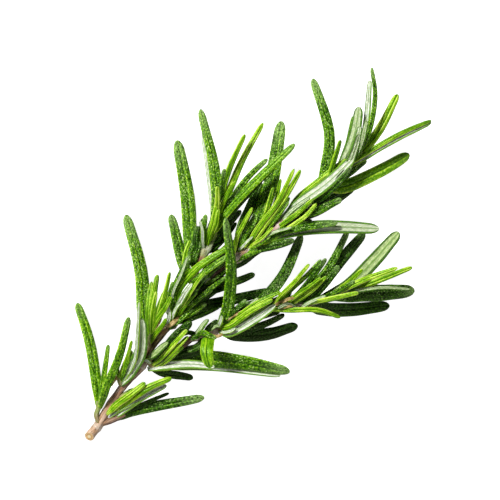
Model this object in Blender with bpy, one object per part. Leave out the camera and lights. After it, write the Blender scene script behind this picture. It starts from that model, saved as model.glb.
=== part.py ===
"""A cut sprig of rosemary lying on a table: a woody stem that forks into leafy shoots and small leafy sprays.

The layout is read from a view straight down. The x and y of a point are counted in view units, x to the
right and y towards the foot of the view, and VIEW_UNIT gives the length of one. Heights are in millimetres
above the table. The sprig lies with its cut end and its lowest leaves on the table, at z = 0.
"""

import math
import random

import bmesh
import bpy
from mathutils import Vector

VIEW_UNIT = 0.00025
MIDDLE = (253.04, 253.72)
MM = 0.001

GAP = 0.0003
LEAF_THICKNESS = 0.0011
STEM_SIDES = 8
STEM_STEP = 0.0032
CUT_SLANT = 0.8
FLOOR_BOX = 0.4

# Leaf width along the blade as (share of the length, share of the full width).
BLADE_WIDTHS = ((0.0, 0.5), (0.13, 0.86), (0.42, 1.0), (0.76, 0.96), (0.93, 0.68))

# Leaf cross-section as (share of the width, share of the thickness), counted round the blade.
BLADE_SECTION = ((-0.5, -0.05), (0.0, -0.5), (0.5, -0.05), (0.0, 0.5))

LEAF_GREEN = (0.10, 0.24, 0.05)
SHOOT_GREEN = (0.16, 0.30, 0.07)
BARK_BROWN = (0.36, 0.22, 0.14)

# Centre lines as (x, y, height, radius), the radius in millimetres.
MAIN_WOOD = (
    (88.4, 436.4, 0.84, 1.2), (93, 430.5, 0.88, 1.2), (98, 424, 1.1, 1.15), (109, 405, 2.2, 1.05), (118, 392, 3.2, 1.0),
    (128, 379, 4.2, 1.05), (137, 370, 5.0, 1.15), (143, 362, 5.6, 1.1), (149, 350, 6.4, 0.9),
    (155.5, 341, 7.0, 0.85), (166, 328, 8.0, 0.95), (172, 322.5, 8.4, 1.35),
)
SIDE_WOOD = (
    (144, 361, 5.6, 0.7), (151, 359, 5.8, 0.7), (159, 354, 6.0, 0.7), (182, 345, 6.2, 0.75), (192, 338, 6.3, 0.85),
    (205, 336, 6.4, 1.0), (212, 330.5, 6.5, 1.5),
)
MAIN_CORE = (
    (168, 326, 8.2, 1.1), (174, 320, 8.6, 1.3), (190, 302, 9.4, 0.75), (204, 283, 11.2, 0.75), (221, 270, 12.0, 0.75),
    (240, 255, 12.3, 1.1), (264, 238, 13.4, 0.85), (283, 221, 13.6, 0.85), (298, 209, 13.2, 0.8), (318, 195, 12.9, 0.75),
    (335, 182, 13.2, 0.7), (350, 165, 13.6, 0.65), (360, 150, 14.0, 0.55),
)
UPPER_CORE = (
    (187, 306, 9.2, 0.7), (191, 288, 10.2, 0.8), (195, 272, 10.8, 0.85), (200, 260, 11.2, 0.9), (205, 250, 11.5, 1.1),
    (210, 240, 11.7, 1.0), (216, 225, 12.0, 0.7), (220, 207, 12.4, 0.55),
)
SIDE_CORE = (
    (208, 334, 6.4, 1.1), (215, 329, 6.6, 1.1), (222, 326, 6.6, 0.75), (235, 321, 6.6, 0.7), (247, 314, 6.6, 0.7),
    (262, 309, 6.6, 0.7), (278, 306, 6.6, 0.75), (301, 305, 6.6, 0.8), (312, 302, 6.7, 0.7), (325, 297, 6.9, 0.6),
    (336, 292, 7.1, 0.55),
)
BASAL_LEFT_CORE = ((98, 423, 1.6, 0.55), (95.5, 415, 2.6, 0.6), (98, 407, 3.1, 0.65), (97.5, 401, 3.6, 0.55))
BASAL_RIGHT_CORE = ((100, 424, 1.3, 0.6), (108, 421, 1.6, 0.8), (118, 417, 2.0, 0.7), (124, 414, 2.2, 0.5))
SECOND_LEFT_CORE = ((122, 387, 3.7, 0.5), (119, 381, 4.9, 0.6), (119, 375, 5.6, 0.5))
SECOND_RIGHT_CORE = ((116, 396, 3.0, 0.5), (121, 396, 3.3, 0.6), (127, 392, 3.6, 0.5))
FORK_LEFT_CORE = ((150, 349, 6.5, 0.5), (149, 341, 7.6, 0.65), (152, 332, 8.6, 0.6), (156, 324, 9.2, 0.5))
FORK_RIGHT_CORE = ((147, 361, 5.6, 0.5), (152, 366, 5.5, 0.6), (160, 367, 5.3, 0.6), (167, 366, 5.2, 0.5))
SIDE_NODE_CORE = ((199, 337, 6.3, 0.5), (202, 335, 7.6, 0.65), (206, 335, 8.6, 0.6))

# Leaves as (width, roll at the foot, roll at the tip, points from foot to tip as (x, y, height)).
# A roll of 0 turns the green face up, 90 turns it to the right of the way the leaf runs, 180 turns it down.
BASAL_LEFT_LEAVES = (
    (11.5, 10, 20, ((98, 408, 3.0), (95.3, 376, 3.8), (88.5, 340, 3.2), (76.6, 302.5, 2.2))),
    (6, -30, -20, ((98.5, 406, 3.4), (101.5, 385, 6.0), (105, 365, 7.6), (107.6, 344, 8.6))),
    (9.5, 30, 20, ((99, 408, 3.2), (105.8, 388, 7.0), (118.2, 358, 9.5), (128.6, 316.5, 12.0))),
    (6, 0, 0, ((98, 405, 3.2), (96, 398, 3.0), (95, 388, 2.2), (94.5, 376, 1.2))),
)
BASAL_RIGHT_LEAVES = (
    (11.5, 10, -10, ((110, 420, 1.7), (128, 411.5, 1.1), (160, 405.2, 0.3), (203.8, 396.8, 0.3))),
    (8, -15, 0, ((113, 412, 2.5), (126, 401, 3.9), (145, 389, 4.8), (171, 377.5, 4.8))),
    (7.5, -15, -10, ((106, 414, 2.6), (116, 404.5, 4.3), (131, 393, 5.5), (145, 382.5, 5.6))),
    (7, 150, 165, ((113, 418, 1.9), (125, 409, 2.7), (146, 395, 3.2), (166, 385, 3.4))),
    (5, 155, 165, ((109, 417, 2.0), (118, 410, 3.0), (129, 404, 3.4), (140, 399, 3.0))),
    (5, 10, 30, ((116, 417, 2.0), (128, 410, 1.8), (146, 402.5, 1.2), (168.5, 393, 0.7))),
)
SECOND_LEFT_LEAVES = (
    (4.5, 30, 10, ((118, 382, 4.9), (122, 369, 7.0), (127, 356, 9.6), (131.5, 340, 12.0))),
    (4.5, 10, 0, ((120, 382, 4.9), (123, 372, 7.2), (127, 361, 8.8), (131.5, 350, 9.6))),
    (13.5, 165, 195, ((120, 384, 4.6), (131.5, 368, 7.5), (140, 350, 10.5), (141.6, 318, 14.5))),
    (5.5, 130, 130, ((124, 380, 5.4), (134, 361, 9.4), (137.5, 336, 13.0), (139.3, 301.5, 16.4))),
    (5, 60, 40, ((119, 379, 5.2), (117, 370, 6.2), (118, 360, 6.6), (121, 349, 6.4))),
    (5, 20, 20, ((119, 381, 4.9), (115, 377, 5.6), (112, 381, 5.6), (110, 386, 5.0))),
)
SECOND_RIGHT_LEAVES = (
    (5, -20, 0, ((119, 397, 3.3), (125, 393.5, 3.6), (131, 390.5, 3.7), (138.5, 388, 3.7))),
    (4, 160, 150, ((122, 396, 3.3), (126, 395, 3.3), (131, 393, 3.2), (136, 391, 3.1))),
)
FORK_LEFT_LEAVES = (
    (14.5, 10, 20, ((149, 344, 7.2), (143.2, 310, 7.6), (140.2, 268, 4.0), (125.4, 214, 0.3))),
    (7, -20, 20, ((151, 336, 8.2), (150.8, 318, 10.0), (153, 298, 11.0), (157.3, 274.0, 11.2))),
    (5, -10, 0, ((149, 336, 8.0), (147.5, 316, 9.0), (148, 300, 8.8), (151.5, 281, 8.2))),
    (5, 20, 20, ((151, 334, 8.9), (152, 318, 11.6), (153.5, 304, 13.4), (156, 291, 14.4))),
    (6, 20, 40, ((154, 330, 8.8), (158, 316, 11.0), (164, 296, 13.0), (169.5, 271.5, 14.6))),
    (4.5, -10, -20, ((152, 328, 8.8), (156, 314, 10.2), (159, 303, 10.8), (163, 291.5, 11.0))),
    (5, -30, -50, ((155, 326, 9.0), (162, 311, 9.8), (168, 297, 9.8), (172, 281, 9.6))),
    (5.5, -20, -20, ((150, 334, 8.6), (156, 320, 11.2), (164, 308, 13.0), (171, 296, 14.2))),
    (5, 0, -20, ((148, 344, 7.4), (154, 335, 9.2), (160, 327, 10.6), (166, 318.0, 11.8))),
    (8, 140, 150, ((148, 358, 7.2), (154, 354, 9.0), (160, 348.5, 10.2), (168, 342, 10.8))),
    (6, 0, 0, ((153, 331, 8.6), (148, 318, 7.0), (148, 302, 5.0), (151, 287, 3.0))),
)
FORK_RIGHT_LEAVES = (
    (17.5, -10, 40, ((158, 367, 5.0), (190, 358.5, 3.8), (236, 361.6, 2.2), (289.5, 371.6, 1.1))),
    (7, 172, 160, ((150, 366.5, 5.6), (180, 366.5, 5.2), (222, 368.5, 0.9), (280, 375.5, 0.2))),
    (10, 168, 165, ((147, 369, 5.6), (165, 365, 6.2), (188, 364, 6.6), (214, 366.5, 6.0))),
    (9, 20, 20, ((152, 369, 5.1), (165, 373.5, 4.0), (180, 375.5, 2.8), (192.5, 378, 2.2))),
    (5.5, -20, -20, ((152, 365, 6.0), (161, 356.5, 8.6), (174, 343, 10.8), (186.5, 329.0, 12.0))),
    (5, -20, 0, ((155, 366, 5.9), (166, 357, 8.4), (177, 346.5, 10.0), (188, 336, 10.6))),
    (5, -10, 0, ((158, 366, 5.8), (168, 359, 8.0), (175, 352, 9.2), (183, 346, 9.6))),
    (9, 30, 30, ((162, 366, 5.2), (175, 359, 6.2), (189, 353.5, 5.8), (204, 350, 5.2))),
    (8, 10, 0, ((156, 366, 5.6), (168, 358, 6.6), (182, 351, 6.1), (198, 346, 4.0))),
    (11, 0, 10, ((153, 365, 5.8), (162, 354, 8.6), (175, 337, 10.2), (191, 321, 10.8))),
)
SIDE_NODE_LEAVES = (
    (5, 10, 10, ((200, 337, 7.0), (194, 333.5, 7.6), (188, 332, 7.4), (182, 334.5, 7.0))),
    (13.5, 0, 10, ((205.7, 335, 8.2), (207.3, 339, 12.5), (206.4, 352, 14.8), (209.6, 367.5, 14.2))),
    (8, 140, 120, ((196, 337, 7.0), (197.5, 333, 8.8), (202, 326.5, 10.0), (208, 319, 11.0))),
    (6, 10, 20, ((198, 336, 7.6), (200, 333, 10.6), (206, 333.5, 13.2), (216, 338, 12.6))),
    (6, 10, 20, ((204, 333, 8.8), (208, 328, 9.4), (212, 324, 9.6), (217, 319.5, 9.4))),
    (8, 20, 30, ((202, 336, 7.2), (200, 343, 7.6), (195, 347, 7.4), (186, 350, 7.2))),
)
MAIN_LEAVES = (
    # Foot of the shoot, and the leaves in front of it.
    (11, 10, -10, ((176, 318, 8.7), (192, 307.5, 8.2), (232, 299.3, 6.6), (271, 290, 5.2))),
    (9.5, -10, 20, ((174, 322, 8.6), (187, 317.5, 8.6), (204, 311.3, 7.6), (220.6, 304, 6.8))),
    (6, -10, 10, ((178, 319, 8.9), (186, 315, 9.6), (195, 310, 9.8), (206, 303.0, 9.6))),
    (8, 10, -10, ((180, 314, 8.9), (176.5, 293, 12.5), (196.5, 267.5, 15.6), (230, 245.5, 16.6))),
    (7.5, -10, -20, ((181, 312, 9.6), (186, 294, 13.0), (203, 273, 15.4), (228.5, 254.5, 16.4))),
    (6, -20, -10, ((184, 308, 9.8), (193, 292, 12.4), (206, 275, 14.2), (226, 260, 14.8))),
    (5, 20, 10, ((188, 307, 10.0), (201, 295.5, 12.8), (214, 285.5, 13.6), (227, 275.5, 13.2))),
    (6, 0, 0, ((186, 306, 9.8), (198, 294, 11.8), (212, 284, 12.4), (228, 276, 12.0))),
    (4.5, -30, -30, ((177, 315, 9.4), (184, 301, 13.6), (193, 287, 16.4), (205, 270, 17.6))),
    (5, -20, -20, ((178, 315, 9.4), (187, 300, 13.0), (196, 288, 15.0), (207, 274, 15.6))),
    (7, 160, 165, ((174, 312, 9.2), (179, 303, 12.8), (184, 294, 15.2), (192, 283, 16.6))),
    (9, -20, -40, ((174, 314, 9.2), (171.5, 297, 12.2), (178.8, 277, 14.2), (189.5, 255, 15.0))),
    (6, 30, 20, ((175, 320, 8.7), (176, 313, 10.4), (184, 303, 12.0), (193, 293, 12.8))),
    (5, 0, 20, ((174, 321, 8.6), (170, 309, 7.4), (166, 297, 6.0), (165, 284, 4.6))),
    (8.5, 20, 10, ((205, 282, 11.3), (222, 284, 9.0), (238, 280, 8.6), (254.5, 273.8, 8.6))),
    (10, 20, 30, ((222, 269, 12.0), (240, 261.7, 9.2), (258, 249.2, 8.0), (282, 239.7, 7.2))),
    (8, 0, 10, ((200, 286, 10.7), (207, 268, 12.2), (219, 254, 12.8), (235, 240, 12.6))),
    (9, 20, 20, ((192, 300, 9.5), (204, 293, 8.6), (218, 288, 7.8), (231, 284.5, 7.0))),
    (6, 0, 0, ((214, 275, 11.9), (226, 268, 11.8), (236, 262, 12.0), (247, 256, 11.8))),
    # The long leaves behind the upper shoot, and the bundle above the brown joint.
    (15.5, -10, -15, ((246, 252, 12.6), (260, 214, 11.0), (272.5, 173, 9.6), (281, 120.5, 8.6))),
    (11, 20, 30, ((236, 257, 12.4), (242, 225, 11.4), (250, 206, 10.8), (261, 181, 9.8))),
    (5, -20, -20, ((233, 256, 12.5), (236, 238, 14.4), (242, 225, 15.8), (252, 207, 16.6))),
    (5, 40, 30, ((252, 246, 12.9), (262, 222, 14.6), (268, 204, 16.4), (273, 187, 17.8))),
    (4.5, -20, -10, ((258, 242, 13.1), (269, 218, 14.0), (276, 198, 15.4), (280.2, 178.5, 16.4))),
    (5.5, 10, -20, ((243, 252, 12.5), (256.5, 229, 15.2), (275.5, 204, 17.0), (293.5, 168.5, 18.4))),
    (6.5, -10, 20, ((247, 249, 12.6), (262.5, 226.5, 15.0), (282.5, 200, 16.6), (300, 169.5, 18.0))),
    (5, 30, 50, ((268, 235, 13.5), (276, 220, 13.6), (283, 208, 14.4), (289, 197, 15.0))),
    (5, 10, 0, ((253, 249, 12.8), (280, 233, 14.4), (303, 217.5, 15.6), (316, 203, 16.4))),
    (6, 190, 170, ((264, 237, 13.3), (267, 229, 13.2), (271, 222, 13.8), (275, 215, 14.0))),
    # The long pale leaf that runs out to the right, and the ones below it.
    (15, 155, 165, ((262, 240, 13.2), (287, 231, 13.2), (328, 226.5, 13.2), (378.5, 228.5, 11.0))),
    (8.5, -10, -40, ((260, 242, 13.5), (280, 231.5, 14.6), (303, 226.5, 15.4), (337, 222.5, 15.2))),
    (9, 20, 30, ((250, 249, 12.8), (264, 247.5, 13.0), (278, 244.5, 13.4), (294, 239.5, 13.2))),
    (9, 20, 20, ((284, 219, 13.6), (308, 214.5, 11.6), (331.5, 203.2, 10.4), (353.5, 187.5, 9.2))),
    (8, -20, 0, ((290, 215, 13.4), (312, 212, 14.4), (328, 205, 15.4), (341, 199, 15.8))),
    (6, 0, 30, ((300, 208, 13.1), (318, 203, 10.0), (334, 195, 8.4), (350, 188, 7.4))),
    (5, 0, 0, ((272, 232, 13.6), (284, 222, 14.8), (298, 212, 16.0), (312, 199, 16.8))),
    (5, 160, 165, ((276, 228, 13.6), (288, 213, 14.6), (298, 205, 15.4), (309, 197, 15.8))),
    # The head of the shoot.
    (11.5, 0, 10, ((318, 195, 12.9), (325.5, 168, 13.8), (328.2, 130, 12.6), (312.6, 78, 10.6))),
    (6, 30, 30, ((325, 190, 13.0), (330, 172, 16.0), (335.5, 155, 18.4), (339.5, 140, 20.4))),
    (13.5, 155, 155, ((334, 183, 13.2), (344.5, 161, 14.6), (353.8, 136, 15.0), (358.6, 106.5, 14.8))),
    (5, -20, -30, ((332, 184, 13.2), (339, 164, 14.0), (347, 141, 14.2), (352.5, 116, 14.0))),
    (8, 160, 165, ((343, 174, 13.4), (350, 160, 15.6), (355.5, 143, 17.2), (359.5, 126, 18.2))),
    (7, 150, 150, ((348, 168, 13.5), (358, 150, 16.4), (363, 136, 18.6), (366.5, 121, 20.2))),
    (5.5, 10, 20, ((354, 158, 13.8), (368.3, 132, 15.0), (374.6, 98, 15.4), (371, 67.2, 14.8))),
    (7, 160, 150, ((354, 158, 13.8), (362.5, 138, 14.2), (367.2, 110, 14.0), (369.3, 80, 13.2))),
    (9.5, 10, 0, ((356, 156, 13.8), (370, 142, 12.6), (384.2, 119.5, 11.2), (397.4, 93.8, 10.0))),
    (9, 165, 160, ((350, 165, 13.8), (372, 151, 15.2), (400, 135.5, 14.6), (430.5, 121, 12.8))),
    (14, -15, -5, ((326, 188, 13.1), (348, 185, 12.0), (378, 171, 10.6), (408.8, 153.5, 9.0))),
    (12.5, 155, 165, ((282, 221.5, 13.6), (299.3, 203.5, 15.0), (326, 183.5, 16.4), (353.6, 157.5, 18.0))),
    (5, -20, -20, ((283, 217, 13.6), (298, 196, 13.8), (317, 180, 15.0), (345, 158.5, 16.4))),
    (8, 170, 190, ((338, 179, 13.3), (347, 167, 16.4), (353, 152, 19.2), (358, 134, 21.8))),
    (7, 10, 20, ((308, 202, 13.1), (322, 197, 15.0), (337, 183, 17.0), (350.6, 166, 18.0))),
    (7, 0, 0, ((338, 182, 13.3), (347, 174, 12.6), (356, 167, 11.8), (366, 160, 11.0))),
)
UPPER_LEAVES = (
    (6, 10, 10, ((205, 252, 11.4), (213, 248, 11.0), (221, 241, 10.4), (236, 222, 9.4))),
    (12, 20, 20, ((192, 284, 10.3), (182.5, 262, 10.4), (177, 240, 8.8), (170.5, 214, 6.4))),
    (15, 10, 5, ((196, 270, 10.8), (190, 240, 7.6), (187, 196, 1.2), (176.3, 139.5, 0.2))),
    (11, 0, 10, ((213, 238, 11.8), (216.5, 205, 12.6), (213.5, 165, 11.2), (200.2, 108.5, 7.6))),
    (5, 110, 160, ((212, 236, 11.8), (211.5, 208, 10.8), (207.5, 172, 9.8), (202.3, 132, 7.4))),
    (6, 0, 20, ((215, 228, 12.0), (216, 216, 15.0), (217, 202, 18.0), (217, 186, 20.4))),
    (7, 30, 30, ((219, 212, 12.3), (223, 190, 14.6), (229.8, 166, 16.6), (244.8, 134, 18.0))),
    (7.5, 10, 20, ((219, 210, 12.3), (227.5, 193, 13.6), (240.5, 163, 14.2), (262.8, 122.5, 14.0))),
    (9.5, -30, -15, ((214, 232, 11.9), (224, 214, 14.6), (257, 179, 17.0), (294, 143.5, 17.8))),
    (7, 20, 10, ((217, 222, 12.1), (229, 202, 13.2), (246, 179, 13.6), (267, 158.5, 13.4))),
    (7.5, 20, 10, ((213, 235, 11.8), (225, 219, 13.0), (246, 194.5, 13.8), (272, 167, 14.0))),
    (6, 30, 20, ((220, 208, 12.4), (221, 195, 16.0), (222, 184, 19.0), (224, 169, 22.0))),
    (5, 0, 10, ((216, 222, 12.2), (220, 208, 15.2), (226, 196, 17.2), (235, 181, 18.4))),
    (7, -10, -10, ((206, 249, 11.5), (203, 240, 13.2), (203, 229, 14.6), (205.5, 214, 15.8))),
    (4, 165, 170, ((203, 250, 11.9), (202.5, 241, 14.2), (202, 231, 16.0), (200, 220.5, 17.0))),
    (7, -10, 0, ((199, 260, 11.3), (196, 248, 12.6), (195, 238, 13.2), (198, 225.5, 13.2))),
    (5, 20, 20, ((193, 280, 10.5), (184, 268, 11.0), (185, 254, 11.0), (190, 239.5, 10.8))),
    (6, -20, 0, ((197, 267, 11.0), (194, 261, 12.2), (196, 253, 12.6), (200, 241, 12.8))),
    (6, 0, 0, ((206, 249, 11.8), (208.5, 236, 14.2), (212.5, 222, 16.2), (216, 206, 17.6))),
    (5, 0, 20, ((209, 243, 11.9), (213, 232, 14.4), (216.5, 222, 16.4), (218.5, 209, 17.8))),
    (7, 10, 10, ((209, 245, 11.7), (217, 238, 11.6), (223, 230, 11.2), (231, 219, 10.4))),
    (7, 0, 0, ((206, 249, 11.5), (210, 233, 9.6), (213, 216, 7.4), (215, 196, 5.0))),
)
SIDE_LEAVES = (
    # The blade that stands up in front of the forks, and the leaves round the felted joint.
    (13, -10, 50, ((218, 328.5, 6.6), (227, 309, 10.5), (231.3, 268, 16.0), (225, 217.5, 19.5))),
    (13, 10, 10, ((219, 330, 6.6), (238, 335, 5.2), (268, 333.5, 3.8), (297.5, 325.2, 2.6))),
    (8, -20, -30, ((226, 324, 6.6), (244, 329, 6.0), (264, 323.5, 5.6), (284, 314, 5.4))),
    (10, 165, 160, ((219, 329, 6.8), (230, 332, 9.2), (253, 320, 11.2), (275, 304.5, 12.4))),
    (6, -10, 0, ((218, 328, 6.8), (230, 325, 10.4), (250, 311, 12.8), (272, 299, 14.2))),
    (5.5, -20, -10, ((222, 326, 6.8), (238, 315, 10.0), (256, 303, 12.0), (280, 291, 13.0))),
    (4, 0, 0, ((218, 326, 7.0), (226, 319, 9.0), (236, 313.5, 10.0), (248, 309, 10.2))),
    (5, 0, 0, ((220, 324, 6.8), (228, 315, 9.2), (236, 308, 10.2), (246, 299, 10.4))),
    (5, 170, 170, ((236, 320, 6.6), (242, 312, 9.0), (249, 305, 10.6), (258, 297.5, 11.6))),
    (10, 0, 10, ((220, 326, 6.6), (230, 317, 4.6), (243, 308, 3.2), (261, 301, 2.2))),
    # The tall curved leaf and the next pair.
    (13, -25, -30, ((247, 314.5, 6.6), (264, 298, 8.6), (285, 271, 9.0), (301, 234, 8.2))),
    (8.5, -20, -10, ((292, 305.5, 6.6), (310, 288, 7.8), (329.5, 265, 8.2), (347.5, 230, 7.6))),
    (12.5, 10, 10, ((301, 305, 6.6), (319, 287, 6.8), (340, 260, 6.2), (364.5, 232.5, 5.0))),
    (5, -20, -20, ((270, 307.5, 6.6), (284, 291, 10.4), (297, 278, 12.6), (308.5, 263.5, 14.2))),
    (6.5, 10, 20, ((283, 306, 6.6), (299.5, 292, 9.6), (312.5, 276, 12.0), (325.5, 258, 14.0))),
    (5.5, 30, 30, ((276, 305, 6.6), (289, 291, 9.4), (305.5, 276, 11.6), (320.5, 259, 13.0))),
    (4.5, -10, 0, ((280, 306, 6.6), (293, 297, 9.8), (306, 288, 11.8), (320, 277, 13.0))),
    (5, 0, 0, ((286, 306, 6.6), (298, 299, 9.0), (312, 289, 10.8), (326, 276, 12.0))),
    (8, 0, 0, ((304, 304, 6.7), (318, 291, 9.2), (328, 279, 10.4), (338.5, 265, 11.0))),
    (3.5, 190, 175, ((272, 306, 6.8), (279, 302.5, 8.8), (286, 299.5, 10.4), (293.6, 297.0, 11.4))),
    # The head of the shoot, and the leaves that run out to the right.
    (15.5, 160, 165, ((318, 300.5, 6.8), (345.5, 287.5, 8.6), (374, 260, 9.0), (398.5, 231.5, 8.4))),
    (6, -10, 0, ((322, 298, 6.9), (344, 288.5, 10.4), (368, 277, 12.6), (397, 267.5, 14.2))),
    (6.5, 10, 0, ((328, 295.5, 7.0), (356, 287.5, 8.0), (384, 277.5, 8.2), (412, 267, 7.8))),
    (17, -20, 20, ((327, 296, 7.0), (356, 293, 5.4), (385, 292.5, 3.8), (414.5, 290, 2.4))),
    (14, 10, 0, ((306, 304, 6.6), (325, 309, 3.4), (355, 308.8, 0.6), (389.5, 305.3, 0.3))),
    (5.5, 20, 0, ((264, 309.5, 6.6), (288, 309.5, 8.4), (316, 309.5, 8.6), (340, 317, 6.8))),
    (6, 60, 20, ((304, 304, 6.6), (318, 301, 9.2), (338, 296.5, 11.4), (358, 292.5, 13.2))),
    (5, 0, 20, ((334, 293, 7.1), (344, 285, 9.6), (353, 277.5, 11.2), (362, 269, 12.2))),
    (7, 0, 20, ((288, 305.5, 6.6), (304, 308.5, 4.6), (321, 309.5, 2.6), (339, 311, 1.2))),
)

# The leaves beneath each leafy stem: pairs a set way apart, which point down and forward along it.
UNDER_LEAF_STEP = 13.5
UNDER_LEAF_WIDTH = (5.0, 7.5)
UNDER_LEAF_LENGTH = (42.0, 58.0)
UNDER_LEAF_SPREAD = (0.08, 0.26)
UNDER_LEAF_DROP = (0.8, 1.06)
LOWEST_LEAF = 0.3
SPRIG_SEED = 68


def place(x, y, height):
    """The point at a view position and a height in millimetres."""
    return Vector(((x - MIDDLE[0]) * VIEW_UNIT, (MIDDLE[1] - y) * VIEW_UNIT, height * MM))


def curve_point(points, share):
    """A point of the smooth curve through the points, at a share from 0 to 1 of its run."""
    last = len(points) - 1
    at = min(max(share, 0.0), 1.0) * last
    i = min(int(at), last - 1)
    t = at - i
    a = points[i - 1] if i > 0 else points[i] * 2.0 - points[i + 1]
    b = points[i]
    c = points[i + 1]
    d = points[i + 2] if i + 2 <= last else points[i + 1] * 2.0 - points[i]
    return 0.5 * (
        b * 2.0
        + (c - a) * t
        + (a * 2.0 - b * 5.0 + c * 4.0 - d) * t * t
        + (b * 3.0 - a - c * 3.0 + d) * t * t * t
    )


def even_shares(points, count):
    """Shares of the curve's run that lie an equal length apart."""
    fine = 24 * (len(points) - 1)
    places = [curve_point(points, k / fine) for k in range(fine + 1)]
    lengths = [0.0]
    for k in range(fine):
        lengths.append(lengths[-1] + (places[k + 1] - places[k]).length)
    shares = []
    k = 0
    for n in range(count):
        goal = lengths[-1] * n / (count - 1)
        while k < fine - 1 and lengths[k + 1] < goal:
            k += 1
        part = (goal - lengths[k]) / max(lengths[k + 1] - lengths[k], 1e-9)
        shares.append((k + min(max(part, 0.0), 1.0)) / fine)
    return shares


def link_mesh(name, verts, faces):
    """A new object whose mesh has outward faces."""
    mesh = bpy.data.meshes.new(name)
    mesh.from_pydata([tuple(v) for v in verts], [], faces)
    bm = bmesh.new()
    bm.from_mesh(mesh)
    bmesh.ops.triangulate(bm, faces=bm.faces)
    bmesh.ops.recalc_face_normals(bm, faces=bm.faces)
    bm.to_mesh(mesh)
    bm.free()
    obj = bpy.data.objects.new(name, mesh)
    bpy.context.scene.collection.objects.link(obj)
    return obj


def ring_faces(rings, sides):
    """Quads between rings of points that follow each other."""
    faces = []
    for r in range(rings - 1):
        for k in range(sides):
            n = (k + 1) % sides
            faces.append((r * sides + k, r * sides + n, (r + 1) * sides + n, (r + 1) * sides + k))
    return faces


def stem(name, line, grow=0.0, slant=0.0):
    """A round stem along a centre line, which may be grown for a clear gap and cut on a slant at its foot."""
    points = [place(x, y, height) for x, y, height, _ in line]
    radii = [Vector((radius * MM, 0.0, 0.0)) for _, _, _, radius in line]
    length = sum((b - a).length for a, b in zip(points, points[1:]))
    count = max(3, round(length / STEM_STEP) + 1)
    shares = even_shares(points, count)
    centres = [curve_point(points, s) for s in shares]
    widths = [curve_point(radii, s).x + grow for s in shares]
    centres[0] = centres[0] - (centres[1] - centres[0]).normalized() * grow
    centres[-1] = centres[-1] + (centres[-1] - centres[-2]).normalized() * grow
    verts = []
    for i, centre in enumerate(centres):
        along = (centres[min(i + 1, count - 1)] - centres[max(i - 1, 0)]).normalized()
        side = along.cross(Vector((0.0, 0.0, 1.0))).normalized()
        up = side.cross(along)
        for k in range(STEM_SIDES):
            turn = 2.0 * math.pi * (k + 0.5) / STEM_SIDES
            back = along * math.sin(turn) * slant if i == 0 else Vector((0.0, 0.0, 0.0))
            verts.append(centre + (side * math.cos(turn) + up * math.sin(turn) + back) * widths[i])
    faces = ring_faces(count, STEM_SIDES)
    faces.append(tuple(reversed(range(STEM_SIDES))))
    faces.append(tuple((count - 1) * STEM_SIDES + k for k in range(STEM_SIDES)))
    return link_mesh(name, verts, faces)


def leaf(name, width, roll_foot, roll_tip, line):
    """A narrow leathery leaf along a line from its foot to its tip."""
    points = [place(x, y, height) for x, y, height in line]
    wide = width * VIEW_UNIT
    thick = min(LEAF_THICKNESS, 0.5 * wide + 0.0002)
    verts = []
    for share, broad in BLADE_WIDTHS:
        centre = curve_point(points, share)
        along = (curve_point(points, share + 0.02) - curve_point(points, share - 0.02)).normalized()
        side = along.cross(Vector((0.0, 0.0, 1.0))).normalized()
        face = side.cross(along)
        roll = math.radians(roll_foot + (roll_tip - roll_foot) * share)
        across = side * math.cos(roll) - face * math.sin(roll)
        normal = face * math.cos(roll) + side * math.sin(roll)
        for u, v in BLADE_SECTION:
            verts.append(centre + across * u * wide * broad + normal * v * thick)
    sides = len(BLADE_SECTION)
    rings = len(BLADE_WIDTHS)
    verts.append(curve_point(points, 1.0))
    tip = len(verts) - 1
    faces = ring_faces(rings, sides)
    faces.append(tuple(reversed(range(sides))))
    for k in range(sides):
        faces.append(((rings - 1) * sides + k, (rings - 1) * sides + (k + 1) % sides, tip))
    return link_mesh(name, verts, faces)


def under_leaves(core, seed, first, last):
    """Rows of leaves that point down and forward beneath a leafy stem, by a seeded rule."""
    rng = random.Random(SPRIG_SEED + seed)
    rows = []
    flat = [Vector((x, y, height)) for x, y, height, _ in core]
    length = sum((b.xy - a.xy).length for a, b in zip(flat, flat[1:]))
    count = int(length * (last - first) / UNDER_LEAF_STEP)
    for n in range(count):
        share = first + (last - first) * (n + 0.5) / count
        foot = curve_point(flat, share)
        ahead = (curve_point(flat, share + 0.02) - curve_point(flat, share - 0.02)).normalized()
        across = Vector((-ahead.y, ahead.x, 0.0))
        for side in (-1.0, 1.0):
            reach = rng.uniform(*UNDER_LEAF_LENGTH)
            spread = side * rng.uniform(*UNDER_LEAF_SPREAD)
            drop = (foot.z - LOWEST_LEAF) * rng.uniform(*UNDER_LEAF_DROP)
            line = []
            for part in (0.0, 0.33, 0.66, 1.0):
                spot = foot + ahead * reach * part + across * reach * spread * part
                line.append((spot.x, spot.y, max(foot.z - drop * part ** 0.8, LOWEST_LEAF)))
            roll = side * rng.uniform(10.0, 40.0)
            rows.append((rng.uniform(*UNDER_LEAF_WIDTH), roll, roll * 0.5, tuple(line)))
    return tuple(rows)


def combine(base, others, operation):
    """Joins other objects to a base, or cuts them from it, in one Boolean, and removes them."""
    group = bpy.data.collections.new(base.name + "_tools")
    bpy.context.scene.collection.children.link(group)
    for obj in others:
        bpy.context.scene.collection.objects.unlink(obj)
        group.objects.link(obj)
    boolean = base.modifiers.new("Boolean", "BOOLEAN")
    boolean.operation = operation
    boolean.operand_type = "COLLECTION"
    boolean.collection = group
    boolean.solver = "MANIFOLD"
    bpy.context.view_layer.update()
    evaluated = base.evaluated_get(bpy.context.evaluated_depsgraph_get())
    mesh = bpy.data.meshes.new_from_object(evaluated)
    base.modifiers.clear()
    base.data = mesh
    for obj in list(group.objects):
        bpy.data.objects.remove(obj, do_unlink=True)
    bpy.data.collections.remove(group)


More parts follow.
